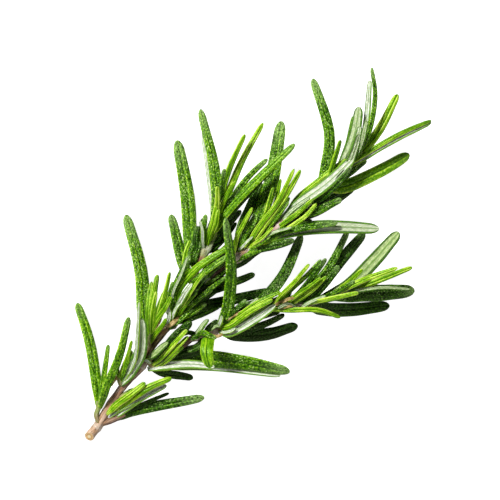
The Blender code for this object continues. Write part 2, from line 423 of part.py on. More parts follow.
def keep_largest(obj):
    """Drops the loose scraps that a cut leaves, so one closed body stays."""
    bm = bmesh.new()
    bm.from_mesh(obj.data)
    bmesh.ops.triangulate(bm, faces=bm.faces)
    left = set(bm.verts)
    bodies = []
    while left:
        start = left.pop()
        body = {start}
        front = [start]
        while front:
            vert = front.pop()
            for edge in vert.link_edges:
                other = edge.other_vert(vert)
                if other in left:
                    left.remove(other)
                    body.add(other)
                    front.append(other)
        bodies.append(body)
    bodies.sort(key=len)
    scraps = [vert for body in bodies[:-1] for vert in body]
    bmesh.ops.delete(bm, geom=scraps, context="VERTS")
    bm.to_mesh(obj.data)
    bm.free()


def floor_box():
    """The space below the table, which flattens what rests on it."""
    half = FLOOR_BOX / 2.0
    verts = [(x, y, z) for z in (-half, 0.0) for y in (-half, half) for x in (-half, half)]
    faces = [(0, 1, 3, 2), (4, 6, 7, 5), (0, 4, 5, 1), (2, 3, 7, 6), (0, 2, 6, 4), (1, 5, 7, 3)]
    return link_mesh("below_table", verts, faces)


def material(name, colour, roughness):
    """A plain surface of one colour."""
    made = bpy.data.materials.new(name)
    made.use_nodes = True
    shader = made.node_tree.nodes["Principled BSDF"]
    shader.inputs["Base Color"].default_value = (*colour, 1.0)
    shader.inputs["Roughness"].default_value = roughness
    shader.inputs["Metallic"].default_value = 0.0
    return made


def wood_pieces(grow=0.0):
    """The woody stem and the woody part of its side branch."""
    return [stem("main_wood", MAIN_WOOD, grow, CUT_SLANT), stem("side_wood", SIDE_WOOD, grow)]


def make_node(name, pieces, cutters, surface):
    """Joins pieces to one body, clears it of its neighbours and of the table, and names it."""
    base = pieces[0]
    base.name = name
    base.data.name = name
    if len(pieces) > 1:
        combine(base, pieces[1:], "UNION")
    combine(base, cutters + [floor_box()], "DIFFERENCE")
    keep_largest(base)
    base.data.name = name
    base.data.materials.clear()
    base.data.materials.append(surface)
    return base


def leafy(name, core, rows, cutters, surface):
    """A leafy stem or spray: a slim core with its leaves grown into it."""
    pieces = [stem(name + "_core", core)]
    for n, row in enumerate(rows):
        pieces.append(leaf(f"{name}_leaf_{n}", *row))
    return make_node(name, pieces, cutters, surface)


def build():
    """Makes every node of the sprig."""
    for old in list(bpy.data.objects):
        bpy.data.objects.remove(old, do_unlink=True)
    bark = material("bark", BARK_BROWN, 0.8)
    green = material("leaf", LEAF_GREEN, 0.45)
    young = material("young_leaf", SHOOT_GREEN, 0.45)
    make_node("woody_stem", wood_pieces(), [], bark)
    main_rows = MAIN_LEAVES + under_leaves(MAIN_CORE, 1, 0.08, 0.72)
    upper_rows = UPPER_LEAVES + under_leaves(UPPER_CORE, 2, 0.2, 0.6)
    side_rows = SIDE_LEAVES + under_leaves(SIDE_CORE, 3, 0.15, 0.7)
    leafy("main_shoot", MAIN_CORE, main_rows, wood_pieces(GAP), green)
    main_cutter = stem("main_clear", MAIN_CORE, GAP)
    leafy("upper_shoot", UPPER_CORE, upper_rows, wood_pieces(GAP) + [main_cutter], green)
    leafy("side_shoot", SIDE_CORE, side_rows, wood_pieces(GAP), green)
    sprays = (
        ("basal_left_spray", BASAL_LEFT_CORE, BASAL_LEFT_LEAVES),
        ("basal_right_spray", BASAL_RIGHT_CORE, BASAL_RIGHT_LEAVES),
        ("second_left_spray", SECOND_LEFT_CORE, SECOND_LEFT_LEAVES),
        ("second_right_spray", SECOND_RIGHT_CORE, SECOND_RIGHT_LEAVES),
        ("fork_left_spray", FORK_LEFT_CORE, FORK_LEFT_LEAVES),
        ("fork_right_spray", FORK_RIGHT_CORE, FORK_RIGHT_LEAVES),
        ("side_node_spray", SIDE_NODE_CORE, SIDE_NODE_LEAVES),
    )
    for name, core, rows in sprays:
        leafy(name, core, rows, wood_pieces(GAP), young)


build()
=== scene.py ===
import math
import random

import bpy
import numpy as np
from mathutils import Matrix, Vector, noise


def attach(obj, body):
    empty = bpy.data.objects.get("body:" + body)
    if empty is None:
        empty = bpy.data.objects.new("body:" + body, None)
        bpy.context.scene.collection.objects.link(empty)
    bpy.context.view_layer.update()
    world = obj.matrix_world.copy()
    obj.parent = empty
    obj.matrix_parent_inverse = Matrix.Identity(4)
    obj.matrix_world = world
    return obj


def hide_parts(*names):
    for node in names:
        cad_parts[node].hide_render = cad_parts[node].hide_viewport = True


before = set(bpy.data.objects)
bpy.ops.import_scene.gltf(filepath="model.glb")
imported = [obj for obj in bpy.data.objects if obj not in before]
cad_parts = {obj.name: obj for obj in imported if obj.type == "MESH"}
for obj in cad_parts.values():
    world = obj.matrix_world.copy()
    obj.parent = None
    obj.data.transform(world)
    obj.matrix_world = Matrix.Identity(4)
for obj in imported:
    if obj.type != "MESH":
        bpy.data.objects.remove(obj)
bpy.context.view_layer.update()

VIEW_UNIT = 0.00025
MIDDLE = (253.04, 253.72)
MM = 0.001
PHOTO_CENTRE = (249.5, 249.5)
PHOTO_WIDTH = 500 * VIEW_UNIT

# Sizes in metres; a leaf's edge wanders by the bend's share of its half width.
LEAF_THICKNESS = 0.00085
LEAF_RINGS = 22
LEAF_WAVE = 0.00007
LEAF_BEND = 0.05

# How far apart the skin patterns of two leaves, and of a leaf's two faces, lie in the noise.
SEED_GAP = 90.0
UNDER_GAP = 7.0

STEM_SIDES = 22
STEM_STEP = 0.0003

# The tone that marks a dry scale.
DRY = -1.0

# Centre lines as (x, y, height, radius), the radius in millimetres.
MAIN_WOOD = (
    (88.4, 436.4, 0.84, 1.2), (93, 430.5, 0.88, 1.2), (98, 424, 1.1, 1.15), (109, 405, 2.2, 1.05),
    (118, 392, 3.2, 1), (128, 379, 4.2, 1.05), (137, 370, 5, 1.15), (143, 362, 5.6, 1.1),
    (149, 350, 6.4, 0.9), (155.5, 341, 7, 0.85), (166, 328, 8, 0.95), (172, 322.5, 8.4, 1.35),
)
SIDE_WOOD = (
    (144, 361, 5.6, 0.7), (151, 359, 5.8, 0.7), (159, 354, 6, 0.7), (182, 345, 6.2, 0.75),
    (192, 338, 6.3, 0.85), (205, 336, 6.4, 1), (212, 330.5, 6.5, 1.5),
)
MAIN_CORE = (
    (168, 326, 8.2, 1.1), (174, 320, 8.6, 1.3), (190, 302, 9.4, 0.75), (204, 283, 11.2, 0.75),
    (221, 270, 12, 0.75), (240, 255, 12.3, 1.1), (264, 238, 13.4, 0.85), (283, 221, 13.6, 0.85),
    (298, 209, 13.2, 0.8), (318, 195, 12.9, 0.75), (335, 182, 13.2, 0.7), (350, 165, 13.6, 0.65),
    (360, 150, 14, 0.55),
)
UPPER_CORE = (
    (187, 306, 9.2, 0.7), (191, 288, 10.2, 0.8), (195, 272, 10.8, 0.85), (200, 260, 11.2, 0.9),
    (205, 250, 11.5, 1.1), (210, 240, 11.7, 1), (216, 225, 12, 0.7), (220, 207, 12.4, 0.55),
)
SIDE_CORE = (
    (208, 334, 6.4, 1.1), (215, 329, 6.6, 1.1), (222, 326, 6.6, 0.75), (235, 321, 6.6, 0.7),
    (247, 314, 6.6, 0.7), (262, 309, 6.6, 0.7), (278, 306, 6.6, 0.75), (301, 305, 6.6, 0.8),
    (312, 302, 6.7, 0.7), (325, 297, 6.9, 0.6), (336, 292, 7.1, 0.55),
)
BASAL_LEFT_CORE = ((98, 423, 1.6, 0.55), (95.5, 415, 2.6, 0.6), (98, 407, 3.1, 0.65), (97.5, 401, 3.6, 0.55))
BASAL_RIGHT_CORE = ((100, 424, 1.3, 0.6), (108, 421, 1.6, 0.8), (118, 417, 2, 0.7), (124, 414, 2.2, 0.5))
SECOND_LEFT_CORE = ((122, 387, 3.7, 0.5), (119, 381, 4.9, 0.6), (119, 375, 5.6, 0.5))
SECOND_RIGHT_CORE = ((116, 396, 3, 0.5), (121, 396, 3.3, 0.6), (127, 392, 3.6, 0.5))
FORK_LEFT_CORE = ((150, 349, 6.5, 0.5), (149, 341, 7.6, 0.65), (152, 332, 8.6, 0.6), (156, 324, 9.2, 0.5))
FORK_RIGHT_CORE = ((147, 361, 5.6, 0.5), (152, 366, 5.5, 0.6), (160, 367, 5.3, 0.6), (167, 366, 5.2, 0.5))
SIDE_NODE_CORE = ((199, 337, 6.3, 0.5), (202, 335, 7.6, 0.65), (206, 335, 8.6, 0.6))

# Leaves as (width, roll at the foot, roll at the tip, tone) and then four points from foot to tip, each as
# (x, y, height).
# A roll of 0 turns the green face up, 90 turns it to the right of the way the leaf runs, 180 turns it down.
# A tone of 0 is the darkest green and 1 a bright yellow-green; low tones are partly painted shade, for
# leaves in the shade of others.
BASAL_LEFT_LEAVES = (
    (11.5, 10, 20, 0.62, (98, 408, 3), (95.3, 376, 3.8), (88.5, 340, 3.2), (76.6, 302.5, 2.2)),
    (6, -30, -20, 0.65, (98.5, 406, 3.4), (101.5, 385, 6), (105, 365, 7.6), (107.6, 344, 8.6)),
    (9.5, 30, 20, 0.6, (99, 408, 3.2), (105.8, 388, 7), (118.2, 358, 9.5), (128.6, 316.5, 12)),
    (6, 0, 0, 0.4, (98, 405, 3.2), (96, 398, 3), (95, 388, 2.2), (94.5, 376, 1.2)),
)
BASAL_RIGHT_LEAVES = (
    (11.5, 10, -10, 0.35, (110, 420, 1.7), (128, 411.5, 1.1), (160, 405.2, 0.3), (203.8, 396.8, 0.3)),
    (8, -15, 0, 0.8, (113, 412, 2.5), (126, 401, 3.9), (145, 389, 4.8), (171, 377.5, 4.8)),
    (7.5, -15, -10, 0.85, (106, 414, 2.6), (116, 404.5, 4.3), (131, 393, 5.5), (145, 382.5, 5.6)),
    (7, 150, 165, 0.85, (113, 418, 1.9), (125, 409, 2.7), (146, 395, 3.2), (166, 385, 3.4)),
    (5, 155, 165, 0.9, (109, 417, 2), (118, 410, 3), (129, 404, 3.4), (140, 399, 3)),
    (5, 10, 30, 0.2, (116, 417, 2), (128, 410, 1.8), (146, 402.5, 1.2), (168.5, 393, 0.7)),
)
SECOND_LEFT_LEAVES = (
    (4.5, 30, 10, 0.8, (118, 382, 4.9), (122, 369, 7), (127, 356, 9.6), (131.5, 340, 12)),
    (4.5, 10, 0, 0.65, (120, 382, 4.9), (123, 372, 7.2), (127, 361, 8.8), (131.5, 350, 9.6)),
    (13.5, 165, 195, 0.62, (120, 384, 4.6), (131.5, 368, 7.5), (140, 350, 10.5), (141.6, 318, 14.5)),
    (5.5, 130, 130, 0.8, (124, 380, 5.4), (134, 361, 9.4), (137.5, 336, 13), (139.3, 301.5, 16.4)),
    (5, 60, 40, 0.5, (119, 379, 5.2), (117, 370, 6.2), (118, 360, 6.6), (121, 349, 6.4)),
    (5, 20, 20, DRY, (119, 381, 4.9), (115, 377, 5.6), (112, 381, 5.6), (110, 386, 5)),
)
SECOND_RIGHT_LEAVES = (
    (5, -20, 0, 0.4, (119, 397, 3.3), (125, 393.5, 3.6), (131, 390.5, 3.7), (138.5, 388, 3.7)),
    (4, 160, 150, 0.5, (122, 396, 3.3), (126, 395, 3.3), (131, 393, 3.2), (136, 391, 3.1)),
)
FORK_LEFT_LEAVES = (
    (14.5, 10, 20, 0.55, (149, 344, 7.2), (143.2, 310, 7.6), (140.2, 268, 4), (125.4, 214, 0.3)),
    (7, -20, 20, 0.7, (151, 336, 8.2), (150.8, 318, 10), (153, 298, 11), (157.3, 274, 11.2)),
    (5, -10, 0, 0.75, (149, 336, 8), (147.5, 316, 9), (148, 300, 8.8), (151.5, 281, 8.2)),
    (5, 20, 20, 0.85, (151, 334, 8.9), (152, 318, 11.6), (153.5, 304, 13.4), (156, 291, 14.4)),
    (6, 20, 40, 0.75, (154, 330, 8.8), (158, 316, 11), (164, 296, 13), (169.5, 271.5, 14.6)),
    (4.5, -10, -20, 0.8, (152, 328, 8.8), (156, 314, 10.2), (159, 303, 10.8), (163, 291.5, 11)),
    (5, -30, -50, 0.6, (155, 326, 9), (162, 311, 9.8), (168, 297, 9.8), (172, 281, 9.6)),
    (5.5, -20, -20, 0.75, (150, 334, 8.6), (156, 320, 11.2), (164, 308, 13), (171, 296, 14.2)),
    (5, 0, -20, 0.75, (148, 344, 7.4), (154, 335, 9.2), (160, 327, 10.6), (166, 318, 11.8)),
    (3.5, 190, 170, DRY, (151, 336, 8.2), (154, 329, 9.6), (157, 324, 10.4), (161, 317, 10.8)),
    (8, 140, 150, 0.35, (148, 358, 7.2), (154, 354, 9), (160, 348.5, 10.2), (168, 342, 10.8)),
    (6, 0, 0, 0.4, (153, 331, 8.6), (148, 318, 7), (148, 302, 5), (151, 287, 3)),
)
FORK_RIGHT_LEAVES = (
    (17.5, -10, 40, 0.5, (158, 367, 5), (190, 358.5, 3.8), (236, 361.6, 2.2), (289.5, 371.6, 1.1)),
    (7, 172, 160, 0.8, (150, 366.5, 5.6), (180, 366.5, 5.2), (222, 368.5, 0.9), (280, 375.5, 0.2)),
    (10, 168, 165, 0.9, (147, 369, 5.6), (165, 365, 6.2), (188, 364, 6.6), (214, 366.5, 6)),
    (9, 20, 20, 0.15, (152, 369, 5.1), (165, 373.5, 4), (180, 375.5, 2.8), (192.5, 378, 2.2)),
    (5.5, -20, -20, 0.9, (152, 365, 6), (161, 356.5, 8.6), (174, 343, 10.8), (186.5, 329, 12)),
    (5, -20, 0, 0.85, (155, 366, 5.9), (166, 357, 8.4), (177, 346.5, 10), (188, 336, 10.6)),
    (5, -10, 0, 0.7, (158, 366, 5.8), (168, 359, 8), (175, 352, 9.2), (183, 346, 9.6)),
    (9, 30, 30, 0.12, (162, 366, 5.2), (175, 359, 6.2), (189, 353.5, 5.8), (204, 350, 5.2)),
    (8, 10, 0, 0.1, (156, 366, 5.6), (168, 358, 6.6), (182, 351, 6.1), (198, 346, 4)),
    (11, 0, 10, 0.2, (153, 365, 5.8), (162, 354, 8.6), (175, 337, 10.2), (191, 321, 10.8)),
    (4.5, 150, 150, 0.95, (150, 363, 6.2), (148, 361, 7.2), (146, 360, 7.6), (144, 359.5, 7.6)),
)
SIDE_NODE_LEAVES = (
    (5, 10, 10, 0.35, (200, 337, 7), (194, 333.5, 7.6), (188, 332, 7.4), (182, 334.5, 7)),
    (13.5, 0, 10, 0.72, (205.7, 335, 8.2), (207.3, 339, 12.5), (206.4, 352, 14.8), (209.6, 367.5, 14.2)),
    (8, 140, 120, 0.5, (196, 337, 7), (197.5, 333, 8.8), (202, 326.5, 10), (208, 319, 11)),
    (6, 10, 20, 0.55, (198, 336, 7.6), (200, 333, 10.6), (206, 333.5, 13.2), (216, 338, 12.6)),
    (6, 10, 20, 0.12, (204, 333, 8.8), (208, 328, 9.4), (212, 324, 9.6), (217, 319.5, 9.4)),
    (5, 0, 10, 0.4, (199, 336, 7.6), (197, 336, 9), (194, 337, 9.4), (190, 339.5, 9.2)),
    (8, 20, 30, 0.3, (202, 336, 7.2), (200, 343, 7.6), (195, 347, 7.4), (186, 350, 7.2)),
)
MAIN_LEAVES = (
    # Foot of the shoot, and the leaves in front of it.
    (11, 10, -10, 0.15, (176, 318, 8.7), (192, 307.5, 8.2), (232, 299.3, 6.6), (271, 290, 5.2)),
    (9.5, -10, 20, 0.3, (174, 322, 8.6), (187, 317.5, 8.6), (204, 311.3, 7.6), (220.6, 304, 6.8)),
    (6, -10, 10, 0.55, (178, 319, 8.9), (186, 315, 9.6), (195, 310, 9.8), (206, 303, 9.6)),
    (8, 10, -10, 0.74, (180, 314, 8.9), (176.5, 293, 12.5), (196.5, 267.5, 15.6), (230, 245.5, 16.6)),
    (7.5, -10, -20, 0.58, (181, 312, 9.6), (186, 294, 13), (203, 273, 15.4), (228.5, 254.5, 16.4)),
    (6, -20, -10, 0.35, (184, 308, 9.8), (193, 292, 12.4), (206, 275, 14.2), (226, 260, 14.8)),
    (5, 20, 10, 0.5, (188, 307, 10), (201, 295.5, 12.8), (214, 285.5, 13.6), (227, 275.5, 13.2)),
    (6, 0, 0, 0.05, (186, 306, 9.8), (198, 294, 11.8), (212, 284, 12.4), (228, 276, 12)),
    (6, 10, 0, 0.1, (182, 313, 9.2), (194, 303, 10.6), (206, 295, 11), (222, 287, 10.4)),
    (5, -10, 0, 0.5, (180, 315, 9.2), (190, 305, 11.4), (200, 297, 12.4), (212, 289, 12.4)),
    (4.5, -30, -30, 0.8, (177, 315, 9.4), (184, 301, 13.6), (193, 287, 16.4), (205, 270, 17.6)),
    (5, -20, -20, 0.3, (178, 315, 9.4), (187, 300, 13), (196, 288, 15), (207, 274, 15.6)),
    (7, 160, 165, 0.9, (174, 312, 9.2), (179, 303, 12.8), (184, 294, 15.2), (192, 283, 16.6)),
    (9, -20, -40, 0.45, (174, 314, 9.2), (171.5, 297, 12.2), (178.8, 277, 14.2), (189.5, 255, 15)),
    (3.5, 170, 170, 0.6, (171, 308, 9.8), (173, 292, 13.8), (180, 275, 16), (187.5, 257, 16.8)),
    (6, 30, 20, 0.5, (175, 320, 8.7), (176, 313, 10.4), (184, 303, 12), (193, 293, 12.8)),
    (5, 0, 0, 0.7, (176, 318, 9.2), (181, 309, 11.6), (188, 300, 13.6), (196, 291, 14.6)),
    (5, 0, 20, 0.5, (174, 321, 8.6), (170, 309, 7.4), (166, 297, 6), (165, 284, 4.6)),
    (5, 160, 150, 0.95, (172, 319, 9.2), (168, 312, 10.4), (165, 305, 10.9), (163.5, 298, 10.9)),
    (8.5, 20, 10, 0.15, (205, 282, 11.3), (222, 284, 9), (238, 280, 8.6), (254.5, 273.8, 8.6)),
    (10, 20, 30, 0.12, (222, 269, 12), (240, 261.7, 9.2), (258, 249.2, 8), (282, 239.7, 7.2)),
    (8, 0, 10, 0.12, (200, 286, 10.7), (207, 268, 12.2), (219, 254, 12.8), (235, 240, 12.6)),
    (9, 20, 20, 0.15, (192, 300, 9.5), (204, 293, 8.6), (218, 288, 7.8), (231, 284.5, 7)),
    (6, 0, 0, 0.15, (214, 275, 11.9), (226, 268, 11.8), (236, 262, 12), (247, 256, 11.8)),
    (5, -10, 10, 0.6, (232, 262, 12.6), (240, 258, 13.2), (248, 254, 13.8), (257, 248, 13.8)),
    (5, 0, 0, DRY, (167, 327, 9.2), (171, 323.5, 10.4), (175, 320, 10.8), (180, 316.5, 10.2)),
    (5, 165, 165, 0.9, (167, 324, 9.6), (168.5, 318, 11), (169, 312, 11.8), (167.5, 303, 12.2)),
    (4, 150, 150, 0.95, (171, 320, 10.4), (173.5, 313, 12), (176.5, 307, 12.8), (181, 300, 13.2)),
    (4.5, 0, 0, 0.45, (172, 325, 9.8), (178, 321, 10.6), (185, 315, 10.6), (192, 308, 10.4)),
    (3, 0, 0, 0.2, (168, 329, 9), (172, 326, 9.8), (177, 322, 10.2), (182, 319, 10)),
    (4.5, 0, 0, 0.12, (200, 289, 11.2), (207, 278, 12.8), (215, 268, 13.4), (225, 259, 13.6)),
    (3.5, 0, 0, 0.45, (203, 288, 11.4), (211, 281, 12.8), (219, 274.5, 13.2), (227, 268, 13.2)),
    (3, 160, 160, 0.95, (203, 284, 11.8), (205, 281.5, 12.8), (207, 279.5, 13.2), (210, 278, 13.2)),
    (3.5, 0, 0, 0.85, (246, 249, 13.4), (255, 242.5, 15), (264, 235.5, 15.8), (273, 227, 16)),
    (3, 0, 0, 0.6, (245, 252, 13.2), (254, 247, 14.4), (262, 242, 15), (270, 236, 15.2)),
    (3.5, 170, 170, 0.95, (238, 250, 13.2), (242, 246, 14.4), (246, 242, 15), (252, 236, 15.4)),
    (4, 0, 0, 0.6, (246, 256, 12.8), (250, 254, 13.6), (255, 252, 13.8), (261, 249.5, 13.4)),
    # The long leaves behind the upper shoot, and the bundle above the brown joint.
    (15.5, -10, -15, 0.5, (246, 252, 12.6), (260, 214, 11), (272.5, 173, 9.6), (281, 120.5, 8.6)),
    (11, 20, 30, 0.25, (236, 257, 12.4), (242, 225, 11.4), (250, 206, 10.8), (261, 181, 9.8)),
    (5, -20, -20, 0.8, (233, 256, 12.5), (236, 238, 14.4), (242, 225, 15.8), (252, 207, 16.6)),
    (5, -10, 0, 0.5, (238, 254, 12.5), (242, 241, 13.6), (247, 229, 14.2), (254, 214, 14.2)),
    (5, 40, 30, 0.7, (252, 246, 12.9), (262, 222, 14.6), (268, 204, 16.4), (273, 187, 17.8)),
    (4.5, -20, -10, 0.75, (258, 242, 13.1), (269, 218, 14), (276, 198, 15.4), (280.2, 178.5, 16.4)),
    (5.5, 10, -20, 0.8, (243, 252, 12.5), (256.5, 229, 15.2), (275.5, 204, 17), (293.5, 168.5, 18.4)),
    (6.5, -10, 20, 0.85, (247, 249, 12.6), (262.5, 226.5, 15), (282.5, 200, 16.6), (300, 169.5, 18)),
    (5, 0, 0, 0.6, (252, 248, 12.8), (264, 232, 14), (276, 217, 15.4), (288, 201, 16)),
    (5, 30, 50, 0.7, (268, 235, 13.5), (276, 220, 13.6), (283, 208, 14.4), (289, 197, 15)),
    (4.5, -10, 0, 0.4, (256, 244, 13), (264, 228, 12.6), (270, 214, 12.6), (277, 199, 12.2)),
    (5, 10, 0, 0.9, (253, 249, 12.8), (280, 233, 14.4), (303, 217.5, 15.6), (316, 203, 16.4)),
    (6, 190, 170, DRY, (264, 237, 13.3), (267, 229, 13.2), (271, 222, 13.8), (275, 215, 14)),
    # The long pale leaf that runs out to the right, and the ones below it.
    (15, 155, 165, 0.6, (262, 240, 13.2), (287, 231, 13.2), (328, 226.5, 13.2), (378.5, 228.5, 11)),
    (8.5, -10, -40, 0.4, (260, 242, 13.5), (280, 231.5, 14.6), (303, 226.5, 15.4), (337, 222.5, 15.2)),
    (4, 160, 150, 0.6, (260, 241, 13.7), (268, 235, 15), (277, 231, 16.2), (291, 227, 16.8)),
    (9, 20, 30, 0.3, (250, 249, 12.8), (264, 247.5, 13), (278, 244.5, 13.4), (294, 239.5, 13.2)),
    (9, 20, 20, 0.15, (284, 219, 13.6), (308, 214.5, 11.6), (331.5, 203.2, 10.4), (353.5, 187.5, 9.2)),
    (8, -20, 0, 0.4, (290, 215, 13.4), (312, 212, 14.4), (328, 205, 15.4), (341, 199, 15.8)),
    (6, 0, 30, 0.3, (300, 208, 13.1), (318, 203, 10), (334, 195, 8.4), (350, 188, 7.4)),
    (5, 0, 0, 0.75, (272, 232, 13.6), (284, 222, 14.8), (298, 212, 16), (312, 199, 16.8)),
    (5, 160, 165, 0.6, (276, 228, 13.6), (288, 213, 14.6), (298, 205, 15.4), (309, 197, 15.8)),
    # The head of the shoot.
    (11.5, 0, 10, 0.5, (318, 195, 12.9), (325.5, 168, 13.8), (328.2, 130, 12.6), (312.6, 78, 10.6)),
    (6, 30, 30, 0.7, (325, 190, 13), (330, 172, 16), (335.5, 155, 18.4), (339.5, 140, 20.4)),
    (13.5, 155, 155, 0.5, (334, 183, 13.2), (344.5, 161, 14.6), (353.8, 136, 15), (358.6, 106.5, 14.8)),
    (5, -20, -30, 0.6, (332, 184, 13.2), (339, 164, 14), (347, 141, 14.2), (352.5, 116, 14)),
    (8, 160, 165, 0.6, (343, 174, 13.4), (350, 160, 15.6), (355.5, 143, 17.2), (359.5, 126, 18.2)),
    (7, 150, 150, 0.5, (348, 168, 13.5), (358, 150, 16.4), (363, 136, 18.6), (366.5, 121, 20.2)),
    (5.5, 10, 20, 0.5, (354, 158, 13.8), (368.3, 132, 15), (374.6, 98, 15.4), (371, 67.2, 14.8)),
    (7, 160, 150, 0.8, (354, 158, 13.8), (362.5, 138, 14.2), (367.2, 110, 14), (369.3, 80, 13.2)),
    (9.5, 10, 0, 0.88, (356, 156, 13.8), (370, 142, 12.6), (384.2, 119.5, 11.2), (397.4, 93.8, 10)),
    (5.5, -30, -30, 0.72, (351, 163, 14.4), (372, 148.7, 15.8), (400, 133, 15.2), (430.5, 119.8, 13.4)),
    (9, 165, 160, 0.9, (350, 165, 13.8), (372, 151, 15.2), (400, 135.5, 14.6), (430.5, 121, 12.8)),
    (14, -15, -5, 0.68, (326, 188, 13.1), (348, 185, 12), (378, 171, 10.6), (408.8, 153.5, 9)),
    (12.5, 155, 165, 0.75, (282, 221.5, 13.6), (299.3, 203.5, 15), (326, 183.5, 16.4), (353.6, 157.5, 18)),
    (5, -20, -20, 0.9, (283, 217, 13.6), (298, 196, 13.8), (317, 180, 15), (345, 158.5, 16.4)),
    (8, 170, 190, 0.55, (338, 179, 13.3), (347, 167, 16.4), (353, 152, 19.2), (358, 134, 21.8)),
    (7, 10, 20, 0.3, (308, 202, 13.1), (322, 197, 15), (337, 183, 17), (350.6, 166, 18)),
    (5, 0, 0, 0.15, (312, 199, 13.1), (326, 190, 15.6), (338, 178, 17.2), (349, 164, 17.6)),
    (7, 0, 0, 0.35, (338, 182, 13.3), (347, 174, 12.6), (356, 167, 11.8), (366, 160, 11)),
)
UPPER_LEAVES = (
    (6, 10, 10, 0.2, (205, 252, 11.4), (213, 248, 11), (221, 241, 10.4), (236, 222, 9.4)),
    (12, 20, 20, 0.48, (192, 284, 10.3), (182.5, 262, 10.4), (177, 240, 8.8), (170.5, 214, 6.4)),
    (15, 10, 5, 0.55, (196, 270, 10.8), (190, 240, 7.6), (187, 196, 1.2), (176.3, 139.5, 0.2)),
    (11, 0, 10, 0.55, (213, 238, 11.8), (216.5, 205, 12.6), (213.5, 165, 11.2), (200.2, 108.5, 7.6)),
    (5, 110, 160, 0.9, (212, 236, 11.8), (211.5, 208, 10.8), (207.5, 172, 9.8), (202.3, 132, 7.4)),
    (6, 0, 20, 0.9, (215, 228, 12), (216, 216, 15), (217, 202, 18), (217, 186, 20.4)),
    (7, 30, 30, 0.75, (219, 212, 12.3), (223, 190, 14.6), (229.8, 166, 16.6), (244.8, 134, 18)),
    (7.5, 10, 20, 0.85, (219, 210, 12.3), (227.5, 193, 13.6), (240.5, 163, 14.2), (262.8, 122.5, 14)),
    (9.5, -30, -15, 0.65, (214, 232, 11.9), (224, 214, 14.6), (257, 179, 17), (294, 143.5, 17.8)),
    (7, 20, 10, 0.55, (217, 222, 12.1), (229, 202, 13.2), (246, 179, 13.6), (267, 158.5, 13.4)),
    (7.5, 20, 10, 0.2, (213, 235, 11.8), (225, 219, 13), (246, 194.5, 13.8), (272, 167, 14)),
    (6, 30, 20, 0.45, (220, 208, 12.4), (221, 195, 16), (222, 184, 19), (224, 169, 22)),
    (5, 0, 10, 0.75, (216, 222, 12.2), (220, 208, 15.2), (226, 196, 17.2), (235, 181, 18.4)),
    (4.5, 0, 10, 0.35, (217, 220, 12.2), (222, 210, 14.4), (230, 200, 15.6), (240, 188, 16)),
    (7, -10, -10, 0.5, (206, 249, 11.5), (203, 240, 13.2), (203, 229, 14.6), (205.5, 214, 15.8)),
    (4, 165, 170, 0.95, (203, 250, 11.9), (202.5, 241, 14.2), (202, 231, 16), (200, 220.5, 17)),
    (7, -10, 0, 0.25, (199, 260, 11.3), (196, 248, 12.6), (195, 238, 13.2), (198, 225.5, 13.2)),
    (5, 20, 20, 0.75, (193, 280, 10.5), (184, 268, 11), (185, 254, 11), (190, 239.5, 10.8)),
    (5.5, 0, 0, 0.4, (196, 268, 11), (190, 260, 12.4), (190, 251, 12.8), (194, 241, 12.8)),
    (6, -20, 0, 0.35, (197, 267, 11), (194, 261, 12.2), (196, 253, 12.6), (200, 241, 12.8)),
    (6, 0, 0, 0.8, (206, 249, 11.8), (208.5, 236, 14.2), (212.5, 222, 16.2), (216, 206, 17.6)),
    (5, 0, 20, 0.85, (209, 243, 11.9), (213, 232, 14.4), (216.5, 222, 16.4), (218.5, 209, 17.8)),
    (7, 10, 10, 0.2, (209, 245, 11.7), (217, 238, 11.6), (223, 230, 11.2), (231, 219, 10.4)),
    (7, 0, 0, 0.35, (206, 249, 11.5), (210, 233, 9.6), (213, 216, 7.4), (215, 196, 5)),
)
